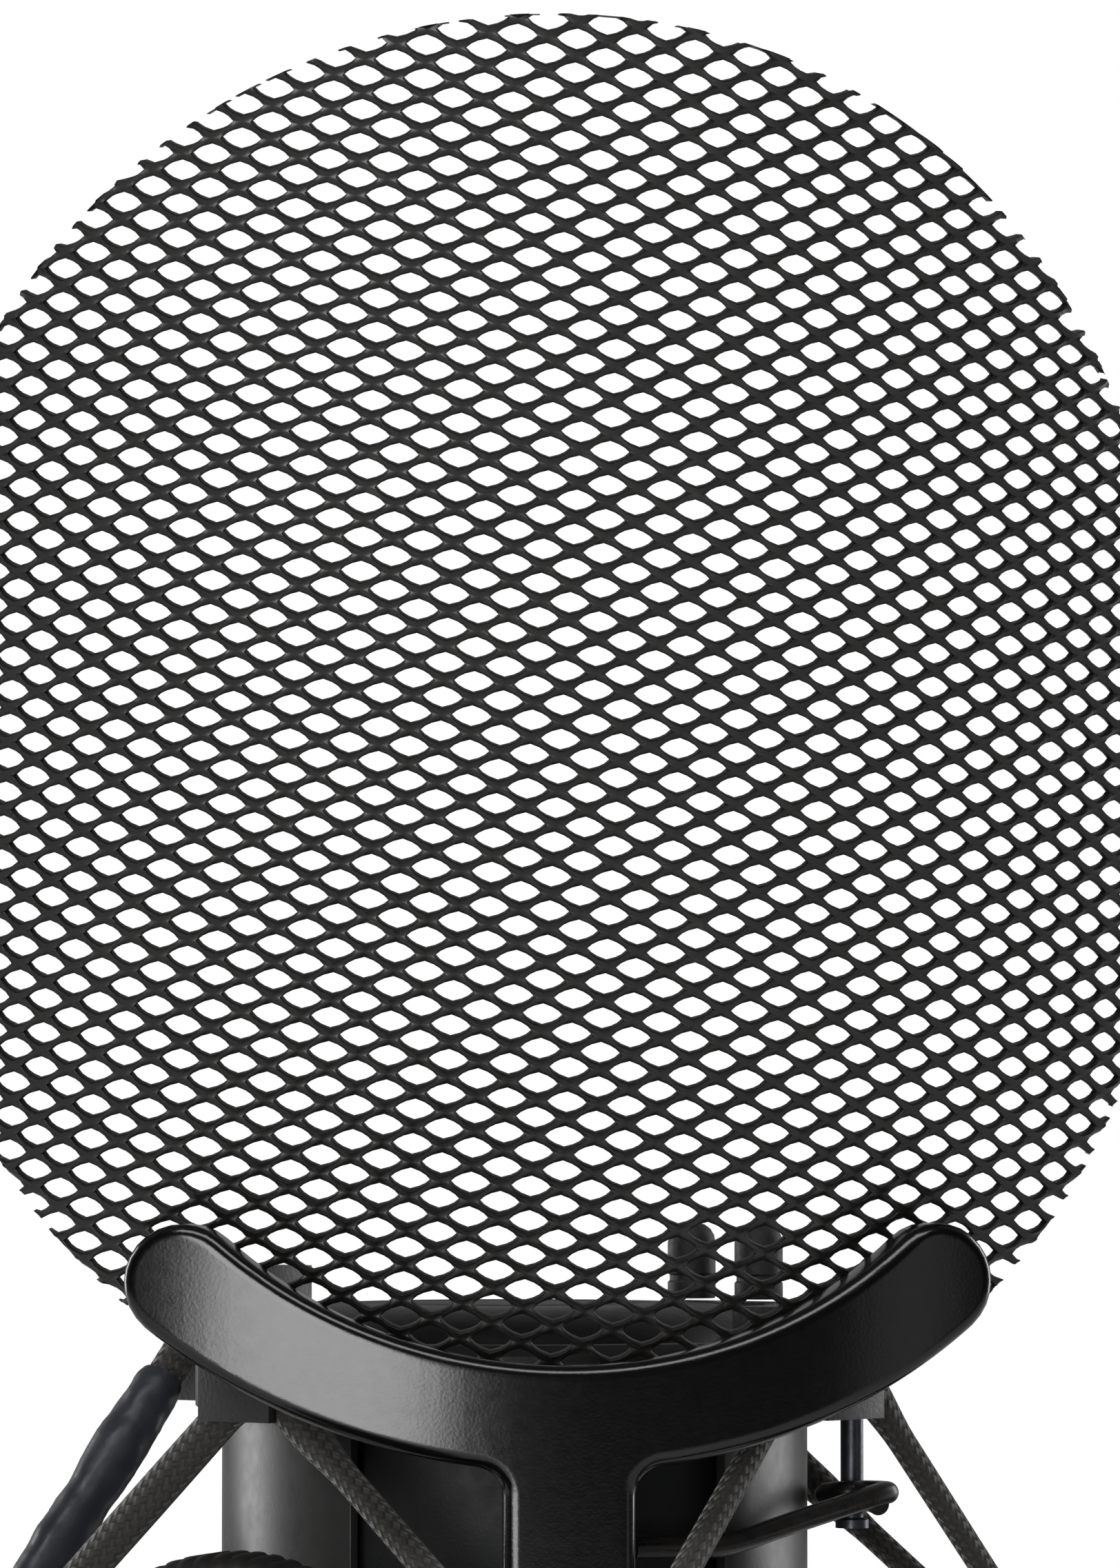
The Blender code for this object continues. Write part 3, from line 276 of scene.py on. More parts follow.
class Tree:
    """A material's nodes, with short calls to add and join them."""

    def __init__(self, name):
        self.material = bpy.data.materials.new(name)
        self.material.use_nodes = True
        self.nodes = self.material.node_tree.nodes
        self.link = self.material.node_tree.links.new
        self.shader = self.nodes["Principled BSDF"]

    def add(self, kind, **values):
        node = self.nodes.new(kind)
        for key, value in values.items():
            socket = node.inputs.get(key.replace("_", " "))
            if socket is not None:
                socket.default_value = value
            else:
                setattr(node, key, value)
        return node

    def noise(self, vector, scale, detail=4.0, rough=0.55):
        node = self.add("ShaderNodeTexNoise", Scale=scale, Detail=detail, Roughness=rough)
        self.link(vector, node.inputs["Vector"])
        return node.outputs["Fac"]

    def ramp(self, value, low, high, dark, light):
        node = self.add("ShaderNodeValToRGB")
        node.color_ramp.elements[0].position = low
        node.color_ramp.elements[0].color = (*dark, 1)
        node.color_ramp.elements[1].position = high
        node.color_ramp.elements[1].color = (*light, 1)
        self.link(value, node.inputs["Fac"])
        return node.outputs["Color"]

    def spread(self, value, low, high, to_low, to_high):
        node = self.add("ShaderNodeMapRange", From_Min=low, From_Max=high, To_Min=to_low, To_Max=to_high)
        self.link(value, node.inputs["Value"])
        return node.outputs["Result"]

    def maths(self, operation, first, second=None):
        node = self.add("ShaderNodeMath", operation=operation)
        for socket, value in zip(node.inputs, (first, second)):
            if value is None:
                continue
            if isinstance(value, (int, float)):
                socket.default_value = value
            else:
                self.link(value, socket)
        return node.outputs["Value"]

    def mix(self, share, first, second):
        node = self.add("ShaderNodeMix", data_type="RGBA")
        for socket, value in ((node.inputs[0], share), (node.inputs[6], first), (node.inputs[7], second)):
            if isinstance(value, (int, float)):
                socket.default_value = value
            elif isinstance(value, tuple):
                socket.default_value = (*value, 1)
            else:
                self.link(value, socket)
        return node.outputs[2]

    def bump(self, height, strength, distance):
        node = self.add("ShaderNodeBump", Strength=strength, Distance=distance)
        self.link(height, node.inputs["Height"])
        self.link(node.outputs["Normal"], self.shader.inputs["Normal"])


def finish_of(name, dark, light, mottle, roughness, rough_spread, bump, grain,
              metallic=0.0, edge=None, smudge=0.0, specular=0.5):
    """A moulded or painted surface: mottled colour, uneven gloss, fine grain, smudges, worn edges."""
    tree = Tree(name)
    place = tree.add("ShaderNodeTexCoord").outputs["Object"]
    cloud = tree.noise(place, mottle * 10, 5)
    colour = tree.ramp(cloud, 0.3, 0.72, dark, light)
    if smudge:
        streak = tree.noise(place, 38, 6, 0.7)
        patch = tree.spread(streak, 0.52, 0.75, 0, smudge)
        colour = tree.mix(patch, colour, tuple(min(1, c * 1.9 + 0.012) for c in light))
    if edge:
        sharp = tree.add("ShaderNodeNewGeometry").outputs["Pointiness"]
        worn = tree.spread(sharp, 0.53, 0.62, 0, 0.7)
        worn = tree.maths("MULTIPLY", worn, tree.spread(tree.noise(place, 420, 3), 0.4, 0.6, 0.25, 1))
        colour = tree.mix(worn, colour, edge)
    tree.link(colour, tree.shader.inputs["Base Color"])
    gloss = tree.noise(place, grain * 0.25, 5, 0.6)
    rough = tree.spread(gloss, 0.25, 0.75, roughness - rough_spread, roughness + rough_spread)
    tree.link(rough, tree.shader.inputs["Roughness"])
    tree.bump(tree.noise(place, grain, 3), bump, 0.1 * MM)
    tree.shader.inputs["Metallic"].default_value = metallic
    tree.shader.inputs["Specular IOR Level"].default_value = specular
    return tree.material


def brushed(name, dark, light, roughness, metallic, axis_scale, bump=0.25):
    """Drawn or turned metal: fine lines along one direction."""
    tree = Tree(name)
    place = tree.add("ShaderNodeTexCoord").outputs["Object"]
    stretch = tree.add("ShaderNodeMapping")
    stretch.inputs["Scale"].default_value = axis_scale
    tree.link(place, stretch.inputs["Vector"])
    lines = tree.noise(stretch.outputs["Vector"], 1.0, 6, 0.65)
    tree.link(tree.ramp(lines, 0.3, 0.7, dark, light), tree.shader.inputs["Base Color"])
    cloud = tree.noise(place, 90, 5)
    rough = tree.maths("ADD", tree.spread(lines, 0.3, 0.7, -0.05, 0.05),
                       tree.spread(cloud, 0.3, 0.7, roughness - 0.06, roughness + 0.06))
    tree.link(rough, tree.shader.inputs["Roughness"])
    tree.bump(lines, bump, 0.05 * MM)
    tree.shader.inputs["Metallic"].default_value = metallic
    return tree.material


def braid_material():
    """Plaited polyester over rubber: two sets of crossing yarns, over and under by turns."""
    tree = Tree("braided_cover")
    uv = tree.add("ShaderNodeUVMap", uv_map="braid").outputs["UV"]
    parts = tree.add("ShaderNodeSeparateXYZ")
    tree.link(uv, parts.inputs[0])
    around_it, along_it = parts.outputs["X"], parts.outputs["Y"]
    turns = tree.maths("MULTIPLY", around_it, 12.0)
    runs = tree.maths("MULTIPLY", along_it, 1 / (1.25 * MM))
    one = tree.maths("ADD", turns, runs)
    two = tree.maths("SUBTRACT", turns, runs)
    ridges = []
    for value in (one, two):
        inside = tree.maths("FRACT", value)
        centred = tree.maths("SUBTRACT", inside, 0.5)
        width = tree.maths("ABSOLUTE", centred)
        ridges.append(tree.spread(width, 0.1, 0.5, 1.0, 0.0))
    cells = tree.maths("ADD", tree.maths("FLOOR", one), tree.maths("FLOOR", two))
    over = tree.maths("GREATER_THAN", tree.maths("PINGPONG", cells, 1.0), 0.5)
    height = tree.add("ShaderNodeMix", data_type="FLOAT")
    tree.link(over, height.inputs[0])
    tree.link(ridges[0], height.inputs[2])
    tree.link(ridges[1], height.inputs[3])
    fibre_place = tree.add("ShaderNodeTexCoord").outputs["Object"]
    fibre = tree.noise(fibre_place, 2600, 4, 0.7)
    blotch = tree.noise(fibre_place, 130, 3)
    raised = tree.maths("ADD", height.outputs[0], tree.maths("MULTIPLY", fibre, 0.5))
    yarn = tree.mix(over, (0.030, 0.027, 0.021), (0.017, 0.015, 0.011))
    yarn = tree.mix(tree.spread(blotch, 0.35, 0.65, 0.0, 0.45), yarn, (0.022, 0.018, 0.013))
    # Painted shade: the colour darkens with the weave's height, down each yarn's sides to near black in the
    # grooves between yarns.
    colour = tree.mix(tree.spread(raised, 0.15, 1.1, 0.0, 1.0), (0.005, 0.0045, 0.004), yarn)
    tree.link(colour, tree.shader.inputs["Base Color"])
    tree.shader.inputs["Roughness"].default_value = 0.72
    tree.shader.inputs["Sheen Weight"].default_value = 0.25
    tree.shader.inputs["Sheen Roughness"].default_value = 0.4
    tree.bump(raised, 0.8, 0.16 * MM)
    return tree.material


def board_material():
    """Green solder mask over copper tracks."""
    tree = Tree("circuit_board_mask")
    place = tree.add("ShaderNodeTexCoord").outputs["Object"]
    tracks = tree.add("ShaderNodeTexBrick", Scale=260.0, Mortar_Size=0.012)
    tracks.inputs["Color1"].default_value = (0.010, 0.075, 0.032, 1)
    tracks.inputs["Color2"].default_value = (0.012, 0.090, 0.040, 1)
    tracks.inputs["Mortar"].default_value = (0.055, 0.200, 0.070, 1)
    tree.link(place, tracks.inputs["Vector"])
    tree.link(tracks.outputs["Color"], tree.shader.inputs["Base Color"])
    rough = tree.spread(tree.noise(place, 300), 0.3, 0.7, 0.25, 0.45)
    tree.link(rough, tree.shader.inputs["Roughness"])
    tree.bump(tracks.outputs["Fac"], 0.3, 0.05 * MM)
    return tree.material


def make_materials():
    """Every finish, by the name that the pieces ask for."""
    return {
        "screen": finish_of("black_expanded_steel", (0.0035, 0.0031, 0.0028), (0.008, 0.007, 0.0065), 9,
                            0.34, 0.07, 0.25, 2600, edge=(0.035, 0.032, 0.030)),
        "cradle": finish_of("satin_black_moulding", (0.0016, 0.0017, 0.0019), (0.0026, 0.0027, 0.003), 5,
                            0.185, 0.02, 0.08, 3400, smudge=0.02),
        "coated": finish_of("black_powder_coat", (0.007, 0.007, 0.007), (0.013, 0.0127, 0.0123), 12,
                            0.42, 0.08, 0.45, 2200),
        "collar": finish_of("dark_collar_moulding", (0.0075, 0.0075, 0.008), (0.014, 0.014, 0.0145), 12,
                            0.45, 0.07, 0.35, 2600, smudge=0.1),
        "basket": finish_of("satin_grey_paint", (0.020, 0.020, 0.0195), (0.029, 0.029, 0.028), 8,
                            0.36, 0.05, 0.10, 3000, smudge=0.06, specular=0.35),
        "body": finish_of("satin_black_lacquer", (0.006, 0.0065, 0.0075), (0.011, 0.0115, 0.013), 8,
                          0.50, 0.06, 0.18, 3000, specular=0.25),
        "grille": brushed("blackened_wire", (0.030, 0.030, 0.032), (0.075, 0.075, 0.080), 0.35, 0.8,
                          (1500, 1500, 1500)),
        "steel": brushed("turned_steel", (0.22, 0.22, 0.225), (0.36, 0.36, 0.37), 0.32, 1.0,
                         (300, 300, 1600)),
        "post": finish_of("blued_steel_post", (0.045, 0.050, 0.060), (0.080, 0.087, 0.100), 20,
                          0.34, 0.07, 0.2, 2600, metallic=0.6),
        "wire": finish_of("blackened_spring_wire", (0.014, 0.012, 0.0115), (0.028, 0.025, 0.023), 20,
                          0.30, 0.07, 0.2, 3000, metallic=0.4),
        "brass": brushed("turned_brass", (0.46, 0.32, 0.11), (0.62, 0.45, 0.18), 0.30, 1.0,
                         (700, 700, 1400)),
        "gold": brushed("gold_sputtered_film", (0.78, 0.56, 0.20), (0.86, 0.66, 0.30), 0.22, 1.0,
                        (120, 120, 120), 0.05),
        "rubber": finish_of("black_rubber", (0.008, 0.008, 0.008), (0.015, 0.015, 0.0155), 14,
                            0.62, 0.08, 0.5, 1800),
        "sleeve": finish_of("blue_grey_sleeve", (0.017, 0.0185, 0.024), (0.029, 0.031, 0.039), 18,
                            0.36, 0.08, 0.5, 900, smudge=0.15),
        "braid": braid_material(),
        "board": board_material(),
        "knob": finish_of("brown_black_phenolic", (0.0025, 0.0019, 0.0016), (0.005, 0.0037, 0.0031), 10,
                          0.50, 0.08, 0.3, 1600, specular=0.3),
        "dark": finish_of("dark_case_plastic", (0.010, 0.010, 0.0105), (0.018, 0.018, 0.0195), 16,
                          0.5, 0.08, 0.4, 2000),
    }


# ---------------------------------------------------------------- geometry helpers


def around(angle, radius, height=0.0, sideways=0.0):
    """A point at an angle in degrees about the microphone's axis, moved sideways along the tangent."""
    turn = math.radians(angle)
    out = Vector((math.cos(turn), math.sin(turn), 0))
    along = Vector((-math.sin(turn), math.cos(turn), 0))
    return out * radius + along * sideways + Vector((0, 0, height))


def piece(name, bm, finish, location=HOME, sharp=40, weld=1e-6):
    """Make an object of a mesh, smooth shaded but for edges sharper than an angle."""
    if weld:
        bmesh.ops.remove_doubles(bm, verts=bm.verts, dist=weld)
    bmesh.ops.recalc_face_normals(bm, faces=bm.faces)
    mesh = bpy.data.meshes.new(name)
    bm.to_mesh(mesh)
    bm.free()
    mesh.shade_smooth()
    mesh.set_sharp_from_angle(angle=math.radians(sharp))
    made = bpy.data.objects.new(name, mesh)
    made.location = location
    bpy.context.collection.objects.link(made)
    mesh.materials.append(finish)
    return made


def stands_for(made, body, slot, *nodes):
    """Let a piece ride on a body in place of CAD nodes."""
    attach(made, body)
    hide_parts(*nodes)
    return made


def arc(centre, radius, start, end, steps):
    """Points on a circle from one angle to another, in degrees."""
    points = []
    for step in range(steps + 1):
        turn = math.radians(start + (end - start) * step / steps)
        points.append((centre[0] + radius * math.cos(turn), centre[1] + radius * math.sin(turn)))
    return points


def revolve(bm, outline, segments, shape=None):
    """Turn a closed (radius, height) outline about Z; shape may change each vertex's radius."""
    on_axis = {i: bm.verts.new((0, 0, z)) for i, (r, z) in enumerate(outline) if r == 0}
    rings = []
    for step in range(segments):
        turn = math.tau * step / segments
        ring = []
        for i, (r, z) in enumerate(outline):
            reach = shape(turn, r, z) if shape else r
            spot = (reach * math.cos(turn), reach * math.sin(turn), z)
            ring.append(on_axis.get(i) or bm.verts.new(spot))
        rings.append(ring)
    count = len(outline)
    for step in range(segments):
        here, there = rings[step], rings[(step + 1) % segments]
        for i in range(count):
            j = (i + 1) % count
            corners = list(dict.fromkeys([here[i], there[i], there[j], here[j]]))
            if len(corners) > 2:
                bm.faces.new(corners)


def tube(bm, path, radius, sides, closed=False, uv_name=None):
    """Sweep a circle along a path without twist; its radius may depend on the distance run.

    With uv_name, that map holds turn and length.
    """
    count = len(path)
    tangents = []
    for i in range(count):
        before = path[i - 1] if closed or i else path[i]
        after = path[(i + 1) % count] if closed or i < count - 1 else path[i]
        tangents.append((after - before).normalized())
    normal = tangents[0].orthogonal().normalized()
    normals = [normal]
    for i in range(1, count):
        normal = (tangents[i - 1].rotation_difference(tangents[i]) @ normal).normalized()
        normals.append(normal)
    slip = 0.0
    if closed:
        back = tangents[-1].rotation_difference(tangents[0]) @ normal
        slip = back.angle(normals[0])
        if back.cross(normals[0]).dot(tangents[0]) < 0:
            slip = -slip
    run = [0.0]
    for i in range(1, count + 1):
        run.append(run[-1] + (path[i % count] - path[i - 1]).length)
    rings = []
    for i in range(count):
        side = tangents[i].cross(normals[i])
        reach = radius(run[i]) if callable(radius) else radius
        ring = []
        for k in range(sides):
            turn = math.tau * k / sides + slip * i / count
            ring.append(bm.verts.new(path[i] + (normals[i] * math.cos(turn) + side * math.sin(turn)) * reach))
        rings.append(ring)
    layer = bm.loops.layers.uv.new(uv_name) if uv_name else None
    for i in range(count if closed else count - 1):
        here, there = rings[i], rings[(i + 1) % count]
        for k in range(sides):
            j = (k + 1) % sides
            face = bm.faces.new((here[k], here[j], there[j], there[k]))
            if layer:
                spots = ((k, i), (k + 1, i), (k + 1, i + 1), (k, i + 1))
                for loop, (turn, at) in zip(face.loops, spots):
                    loop[layer].uv = (turn / sides, run[at])
    if not closed:
        bm.faces.new(rings[0])
        bm.faces.new(rings[-1])


def smooth(points, steps):
    """A Catmull-Rom curve through the points."""
    path = []
    for i in range(len(points) - 1):
        before = points[max(i - 1, 0)]
        start, end = points[i], points[i + 1]
        after = points[min(i + 2, len(points) - 1)]
        for step in range(steps):
            t = step / steps
            path.append(0.5 * (2 * start + (end - before) * t
                               + (2 * before - 5 * start + 4 * end - after) * t**2
                               + (3 * start - before - 3 * end + after) * t**3))
    path.append(points[-1])
    return path


def aimed(name, outline, finish, start, direction, segments=32, shape=None, sharp=40):
    """A turned piece whose own axis points along a direction from a start point."""
    bm = bmesh.new()
    revolve(bm, outline, segments, shape)
    turn = Vector((0, 0, 1)).rotation_difference(direction).to_matrix()
    bmesh.ops.rotate(bm, cent=(0, 0, 0), matrix=turn, verts=bm.verts)
    return piece(name, bm, finish, HOME + start, sharp)


def smooth_shading():
    """A node group that drops the imported corner normals and shades every face smooth."""
    group = bpy.data.node_groups.new("smooth_shading", "GeometryNodeTree")
    for way in ("INPUT", "OUTPUT"):
        group.interface.new_socket("Geometry", in_out=way, socket_type="NodeSocketGeometry")
    start = group.nodes.new("NodeGroupInput")
    drop = group.nodes.new("GeometryNodeRemoveAttribute")
    drop.inputs["Name"].default_value = "custom_normal"
    shade = group.nodes.new("GeometryNodeSetShadeSmooth")
    end = group.nodes.new("NodeGroupOutput")
    group.links.new(start.outputs[0], drop.inputs["Geometry"])
    group.links.new(drop.outputs["Geometry"], shade.inputs["Geometry"])
    group.links.new(shade.outputs["Geometry"], end.inputs[0])
    return group


def smooth_cad(name, width, group):
    """Smooth a CAD node's shading and round its sharp edges, with modifiers only."""
    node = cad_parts[name]
    node.modifiers.new("smooth_shading", "NODES").node_group = group
    weld = node.modifiers.new("weld", "WELD")
    weld.merge_threshold = 0.004 * MM
    if width:
        bevel = node.modifiers.new("soft_edges", "BEVEL")
        bevel.width = width
        bevel.segments = 3
        bevel.limit_method = "ANGLE"
        bevel.angle_limit = math.radians(40)
    split = node.modifiers.new("crisp_edges", "EDGE_SPLIT")
    split.split_angle = math.radians(35)
    split.use_edge_sharp = False


# ---------------------------------------------------------------- pop shield


def bend(u, v, offset):
    """A point of the flat pattern (u across, v up) laid on the screen's curve, offset to the front."""
    turn = u / SCREEN_BEND
    out = SCREEN_BEND + offset
    return Vector((out * math.sin(turn), SCREEN_Y + SCREEN_BEND - out * math.cos(turn), v))


def cell_loops():
    """One cell's loops of (u, v, offset): border, hole rim and hole wall, in front and behind."""
    corners = [(0.5, 0), (0, 0.5), (-0.5, 0), (0, -0.5)]
    unit = []
    for k in range(4):
        start, end = corners[k], corners[(k + 1) % 4]
        for step in range(3):
            t = step / 3
            unit.append((2 * (start[0] * (1 - t) + end[0] * t), 2 * (start[1] * (1 - t) + end[1] * t)))

    def hole(grow):
        points = []
        for x, y in unit:
            u = math.copysign(abs(x) ** (1 / HOLE_POWER), x) * (HOLE_HALF[0] + grow)
            v = math.copysign(abs(y) ** (1 / HOLE_POWER), y) * (HOLE_HALF[1] + grow)
            points.append((u, v, -STRAND_TILT * v / HOLE_HALF[1]))
        return points

    half, lean = STRAND_THICK / 2, STRAND_LEAN / 2
    soft = 0.1 * MM
    border = [(x * CELL_WIDTH / 2, y * CELL_HEIGHT / 2, 0.0) for x, y in unit]
    return [
        [(u, v - lean, w + half) for u, v, w in border],
        [(u, v - lean, w + half) for u, v, w in hole(soft)],
        [(u, v - lean * 0.7, w + half - soft) for u, v, w in hole(0)],
        [(u, v + lean, w - half) for u, v, w in hole(0)],
        [(u, v + lean, w - half) for u, v, w in border],
    ]


def expanded_screen(finish):
    """Sheet metal slit and drawn into staggered diamonds, cut to a disc and bent about an upright axis."""
    bm = bmesh.new()
    loops = cell_loops()
    sides = len(loops[0])
    turn = math.radians(CELL_TURN)
    cos, sin = math.cos(turn), math.sin(turn)
    made = {}

    def vert(u, v, w):
        key = (round(u / MM, 3), round(v / MM, 3), round(w / MM, 3))
        if key not in made:
            made[key] = bm.verts.new((u, w, v))
        return made[key]

    reach = SCREEN_RADIUS + CELL_WIDTH / 2
    rows = int(reach / (CELL_HEIGHT / 2)) + 3
    columns = int(reach / CELL_WIDTH) + 3
    for row in range(-rows, rows + 1):
        for column in range(-columns, columns + 1):
            cu = (column + (row % 2) / 2) * CELL_WIDTH + CELL_SHIFT[0]
            cv = row * CELL_HEIGHT / 2 + CELL_SHIFT[1]
            if math.hypot(cu, cv) > reach:
                continue
            rings = []
            for loop in loops:
                ring = []
                for u, v, w in loop:
                    u, v = cu + u, cv + v
                    ring.append(vert(u * cos - v * sin, u * sin + v * cos, w))
                rings.append(ring)
            for here, there in zip(rings, rings[1:]):
                for k in range(sides):
                    j = (k + 1) % sides
                    bm.faces.new((here[k], here[j], there[j], there[k]))
    beyond = {v for v in bm.verts if math.hypot(v.co.x, v.co.z) > SCREEN_RADIUS}
    waste = [f for f in bm.faces if all(v in beyond for v in f.verts)]
    bmesh.ops.delete(bm, geom=waste, context="FACES")
    for v in bm.verts:
        far = math.hypot(v.co.x, v.co.z)
        if far > SCREEN_RADIUS:
            v.co.x *= SCREEN_RADIUS / far
            v.co.z *= SCREEN_RADIUS / far
    loose = [v for v in bm.verts if not v.link_faces]
    bmesh.ops.delete(bm, geom=loose, context="VERTS")
    edges = [e for e in bm.edges if e.is_boundary]
    bmesh.ops.holes_fill(bm, edges=edges, sides=0)
    for v in bm.verts:
        v.co = bend(v.co.x, v.co.z + SCREEN_Z, v.co.y)
    made = piece("pop_screen_expanded", bm, finish, sharp=48, weld=0)
    stands_for(made, "pop_shield", "screen_black", "pop_screen")


def crescent(inset=0.0, stem=False):
    """The cradle's outline: two arcs joined by round tips, with the stem below if it has one."""
    tip = CRADLE_TIP_RADIUS - inset
    centre_u = CRADLE_HALF_WIDTH - CRADLE_TIP_RADIUS
    inner = CRADLE_INNER_RADIUS + inset
    inner_centre = CRADLE_INNER_LOW + CRADLE_INNER_RADIUS
    outer = CRADLE_OUTER_RADIUS - inset
    outer_centre = CRADLE_OUTER_LOW + CRADLE_OUTER_RADIUS
    tip_v = inner_centre - math.sqrt((CRADLE_INNER_RADIUS + CRADLE_TIP_RADIUS) ** 2 - centre_u**2)
    inner_end = math.degrees(math.atan2(tip_v - inner_centre, centre_u))
    outer_end = math.degrees(math.atan2(tip_v - outer_centre, centre_u))
    top = arc((0, inner_centre), inner, -180 - inner_end, inner_end, 48)
    right = arc((centre_u, tip_v), tip, 180 + inner_end, outer_end, 14)
    left = [(-u, v) for u, v in reversed(right)]
    if not stem:
        bottom = arc((0, outer_centre), outer, outer_end, -180 - outer_end, 48)
        return top + right[1:-1] + bottom + left[1:-1]
    fillet_u = STEM_HALF_WIDTH + STEM_FILLET
    fillet_v = outer_centre - math.sqrt((outer + STEM_FILLET) ** 2 - fillet_u**2)
    stem_end = math.degrees(math.atan2(fillet_v - outer_centre, fillet_u))
    side = arc((0, outer_centre), outer, outer_end, stem_end, 26)
    fillet = arc((fillet_u, fillet_v), STEM_FILLET, 180 + stem_end, 180, 8)
    foot = arc((0, STEM_BOTTOM + STEM_HALF_WIDTH), STEM_HALF_WIDTH, 0, -180, 16)
    half = side + fillet[1:]
    mirrored = [(-u, v) for u, v in reversed(half)]
    return top + right[1:-1] + half + foot + mirrored + left[1:-1]


def moved_in(outline, amount):
    """The outline moved inwards along its own normals; it runs clockwise."""
    count = len(outline)
    moved = []
    for i, (u, v) in enumerate(outline):
        along = Vector(outline[(i + 1) % count]) - Vector(outline[i - 1])
        along.normalize()
        moved.append((u + along.y * amount, v - along.x * amount))
    return moved


def edge_profile(back, front, width, back_width):
    """(distance in, depth) pairs from the flat front, round both edges, to the flat back."""
    support = 0.2 * MM
    rings = [(width + support, front), (width, front)]
    rings += [(width * (1 - math.sin(a)), front - width * (1 - math.cos(a)))
              for a in (math.radians(15 * k) for k in range(1, 7))]
    rings += [(back_width * (1 - math.cos(a)), back + back_width * (1 - math.sin(a)))
              for a in (math.radians(22.5 * k) for k in range(0, 4))]
    rings += [(back_width, back), (back_width + support, back)]
    return rings


def bent_plate(name, outline, back, front, finish, widths, stem):
    """A flat plate with rounded edges, sliced upright and laid on the screen's curve.

    A stem is sliced at its step too, and is thinner below it.
    """
    outline = tidy_outline(outline)
    bm = bmesh.new()
    rings = []
    for amount, depth in edge_profile(back, front, *widths):
        rings.append([bm.verts.new((u, depth, v)) for u, v in moved_in(outline, amount)])
    count = len(outline)
    for here, there in zip(rings, rings[1:]):
        for i in range(count):
            j = (i + 1) % count
            bm.faces.new((here[i], here[j], there[j], there[i]))
    bm.faces.new(rings[0])
    bm.faces.new(rings[-1])
    cuts = [((across * MM, 0, 0), (1, 0, 0)) for across in range(-37, 38, 2)]
    if stem:
        cuts += [((0, 0, height), (0, 0, 1)) for height in
                 (STEM_STEP[0] - 0.4 * MM, STEM_STEP[0], sum(STEM_STEP) / 2, STEM_STEP[1],
                  STEM_STEP[1] + 0.4 * MM, STEM_STEP[1] + 4 * MM)]
    for place, normal in cuts:
        everything = bm.verts[:] + bm.edges[:] + bm.faces[:]
        bmesh.ops.bisect_plane(bm, geom=everything, plane_co=place, plane_no=normal, dist=1e-6)
    thin = (STEM_FRONT - back) / (front - back)
    for vert in bm.verts:
        depth = vert.co.y
        if stem:
            share = min(1, max(0, (vert.co.z - STEM_STEP[0]) / (STEM_STEP[1] - STEM_STEP[0])))
            depth = back + (depth - back) * (1 + (thin - 1) * share)
        vert.co = bend(vert.co.x, vert.co.z, depth)
    return piece(name, bm, finish, weld=0)


def tidy_outline(outline):
    """The outline without repeated points, running clockwise."""
    kept = []
    for point in outline:
        if not kept or (Vector(point) - Vector(kept[-1])).length > 0.05 * MM:
            kept.append(point)
    if (Vector(kept[0]) - Vector(kept[-1])).length < 0.05 * MM:
        kept.pop()
    area = sum(a[0] * b[1] - b[0] * a[1] for a, b in zip(kept, kept[1:] + kept[:1]))
    return kept if area < 0 else kept[::-1]


def pop_shield(finishes):
    """The screen and its cradle's two mouldings; the rear one is smaller, clear of the cord."""
    expanded_screen(finishes["screen"])
    made = bent_plate("cradle_front_moulding", crescent(stem=True), *CRADLE_FRONT, finishes["cradle"],
                      (1.2 * MM, 0.4 * MM), True)
    stands_for(made, "pop_shield", "cradle_plastic", "cradle_front")
    made = bent_plate("cradle_back_moulding", crescent(inset=2.2 * MM), *CRADLE_BACK, finishes["cradle"],
                      (0.4 * MM, 0.6 * MM), False)
    stands_for(made, "pop_shield", "cradle_plastic", "cradle_back")


# ---------------------------------------------------------------- cords


def rounded(peaks, closed):
    """Straight stretches in short steps, whose corners are cut CORD_TURN back and rounded."""
    path = []
    count = len(peaks)
    for i, peak in enumerate(peaks):
        if not closed and i in (0, count - 1):
            corner = [peak]
        else:
            before = peak + (peaks[i - 1] - peak).normalized() * CORD_TURN
            after = peak + (peaks[(i + 1) % count] - peak).normalized() * CORD_TURN
            corner = []
            for step in range(13):
                t = step / 12
                corner.append(before * (1 - t) ** 2 + peak * (2 * t * (1 - t)) + after * t**2)
        if path:
            path += between(path[-1], corner[0])
        path += corner
    if closed:
        path += between(path[-1], path[0])
    return path


def between(start, end, step=1.5 * MM):
    """Points spaced evenly between two points, without those two."""
    count = int((end - start).length / step)
    return [start.lerp(end, k / (count + 1)) for k in range(1, count + 1)]


def upper_cord_path():
    """From one end cap down, up and down round the ring and the basket, to the other end cap."""
    peaks = [
        around(REAR_RIGHT, END_RADIUS, END_LUG_TOP - GAP, -END_SPREAD),
        around(REAR_RIGHT, END_RADIUS, KNEE, -END_SPREAD),
    ]
    for valley, peak in ((0, FRONT_RIGHT), (270, FRONT_LEFT), (180, REAR_LEFT), (90, None)):
        peaks.append(around(valley, *UPPER_VALLEYS[valley]))
        if peak:
            peaks.append(around(peak, *UPPER_PEAKS[peak]))
    peaks.append(around(REAR_RIGHT, END_RADIUS, KNEE, END_SPREAD))
    peaks.append(around(REAR_RIGHT, END_RADIUS, END_LUG_TOP - GAP, END_SPREAD))
    return rounded(peaks, closed=False)


def lower_cord_path():
    """An endless zigzag between four valleys on the basket and four peaks on the ring."""
    peaks = []
    for angle in range(0, 360, 90):
        peaks.append(around(angle, *LOWER_VALLEY))
        peaks.append(around(angle + 45, *LOWER_PEAK))
    return rounded(peaks, closed=True)


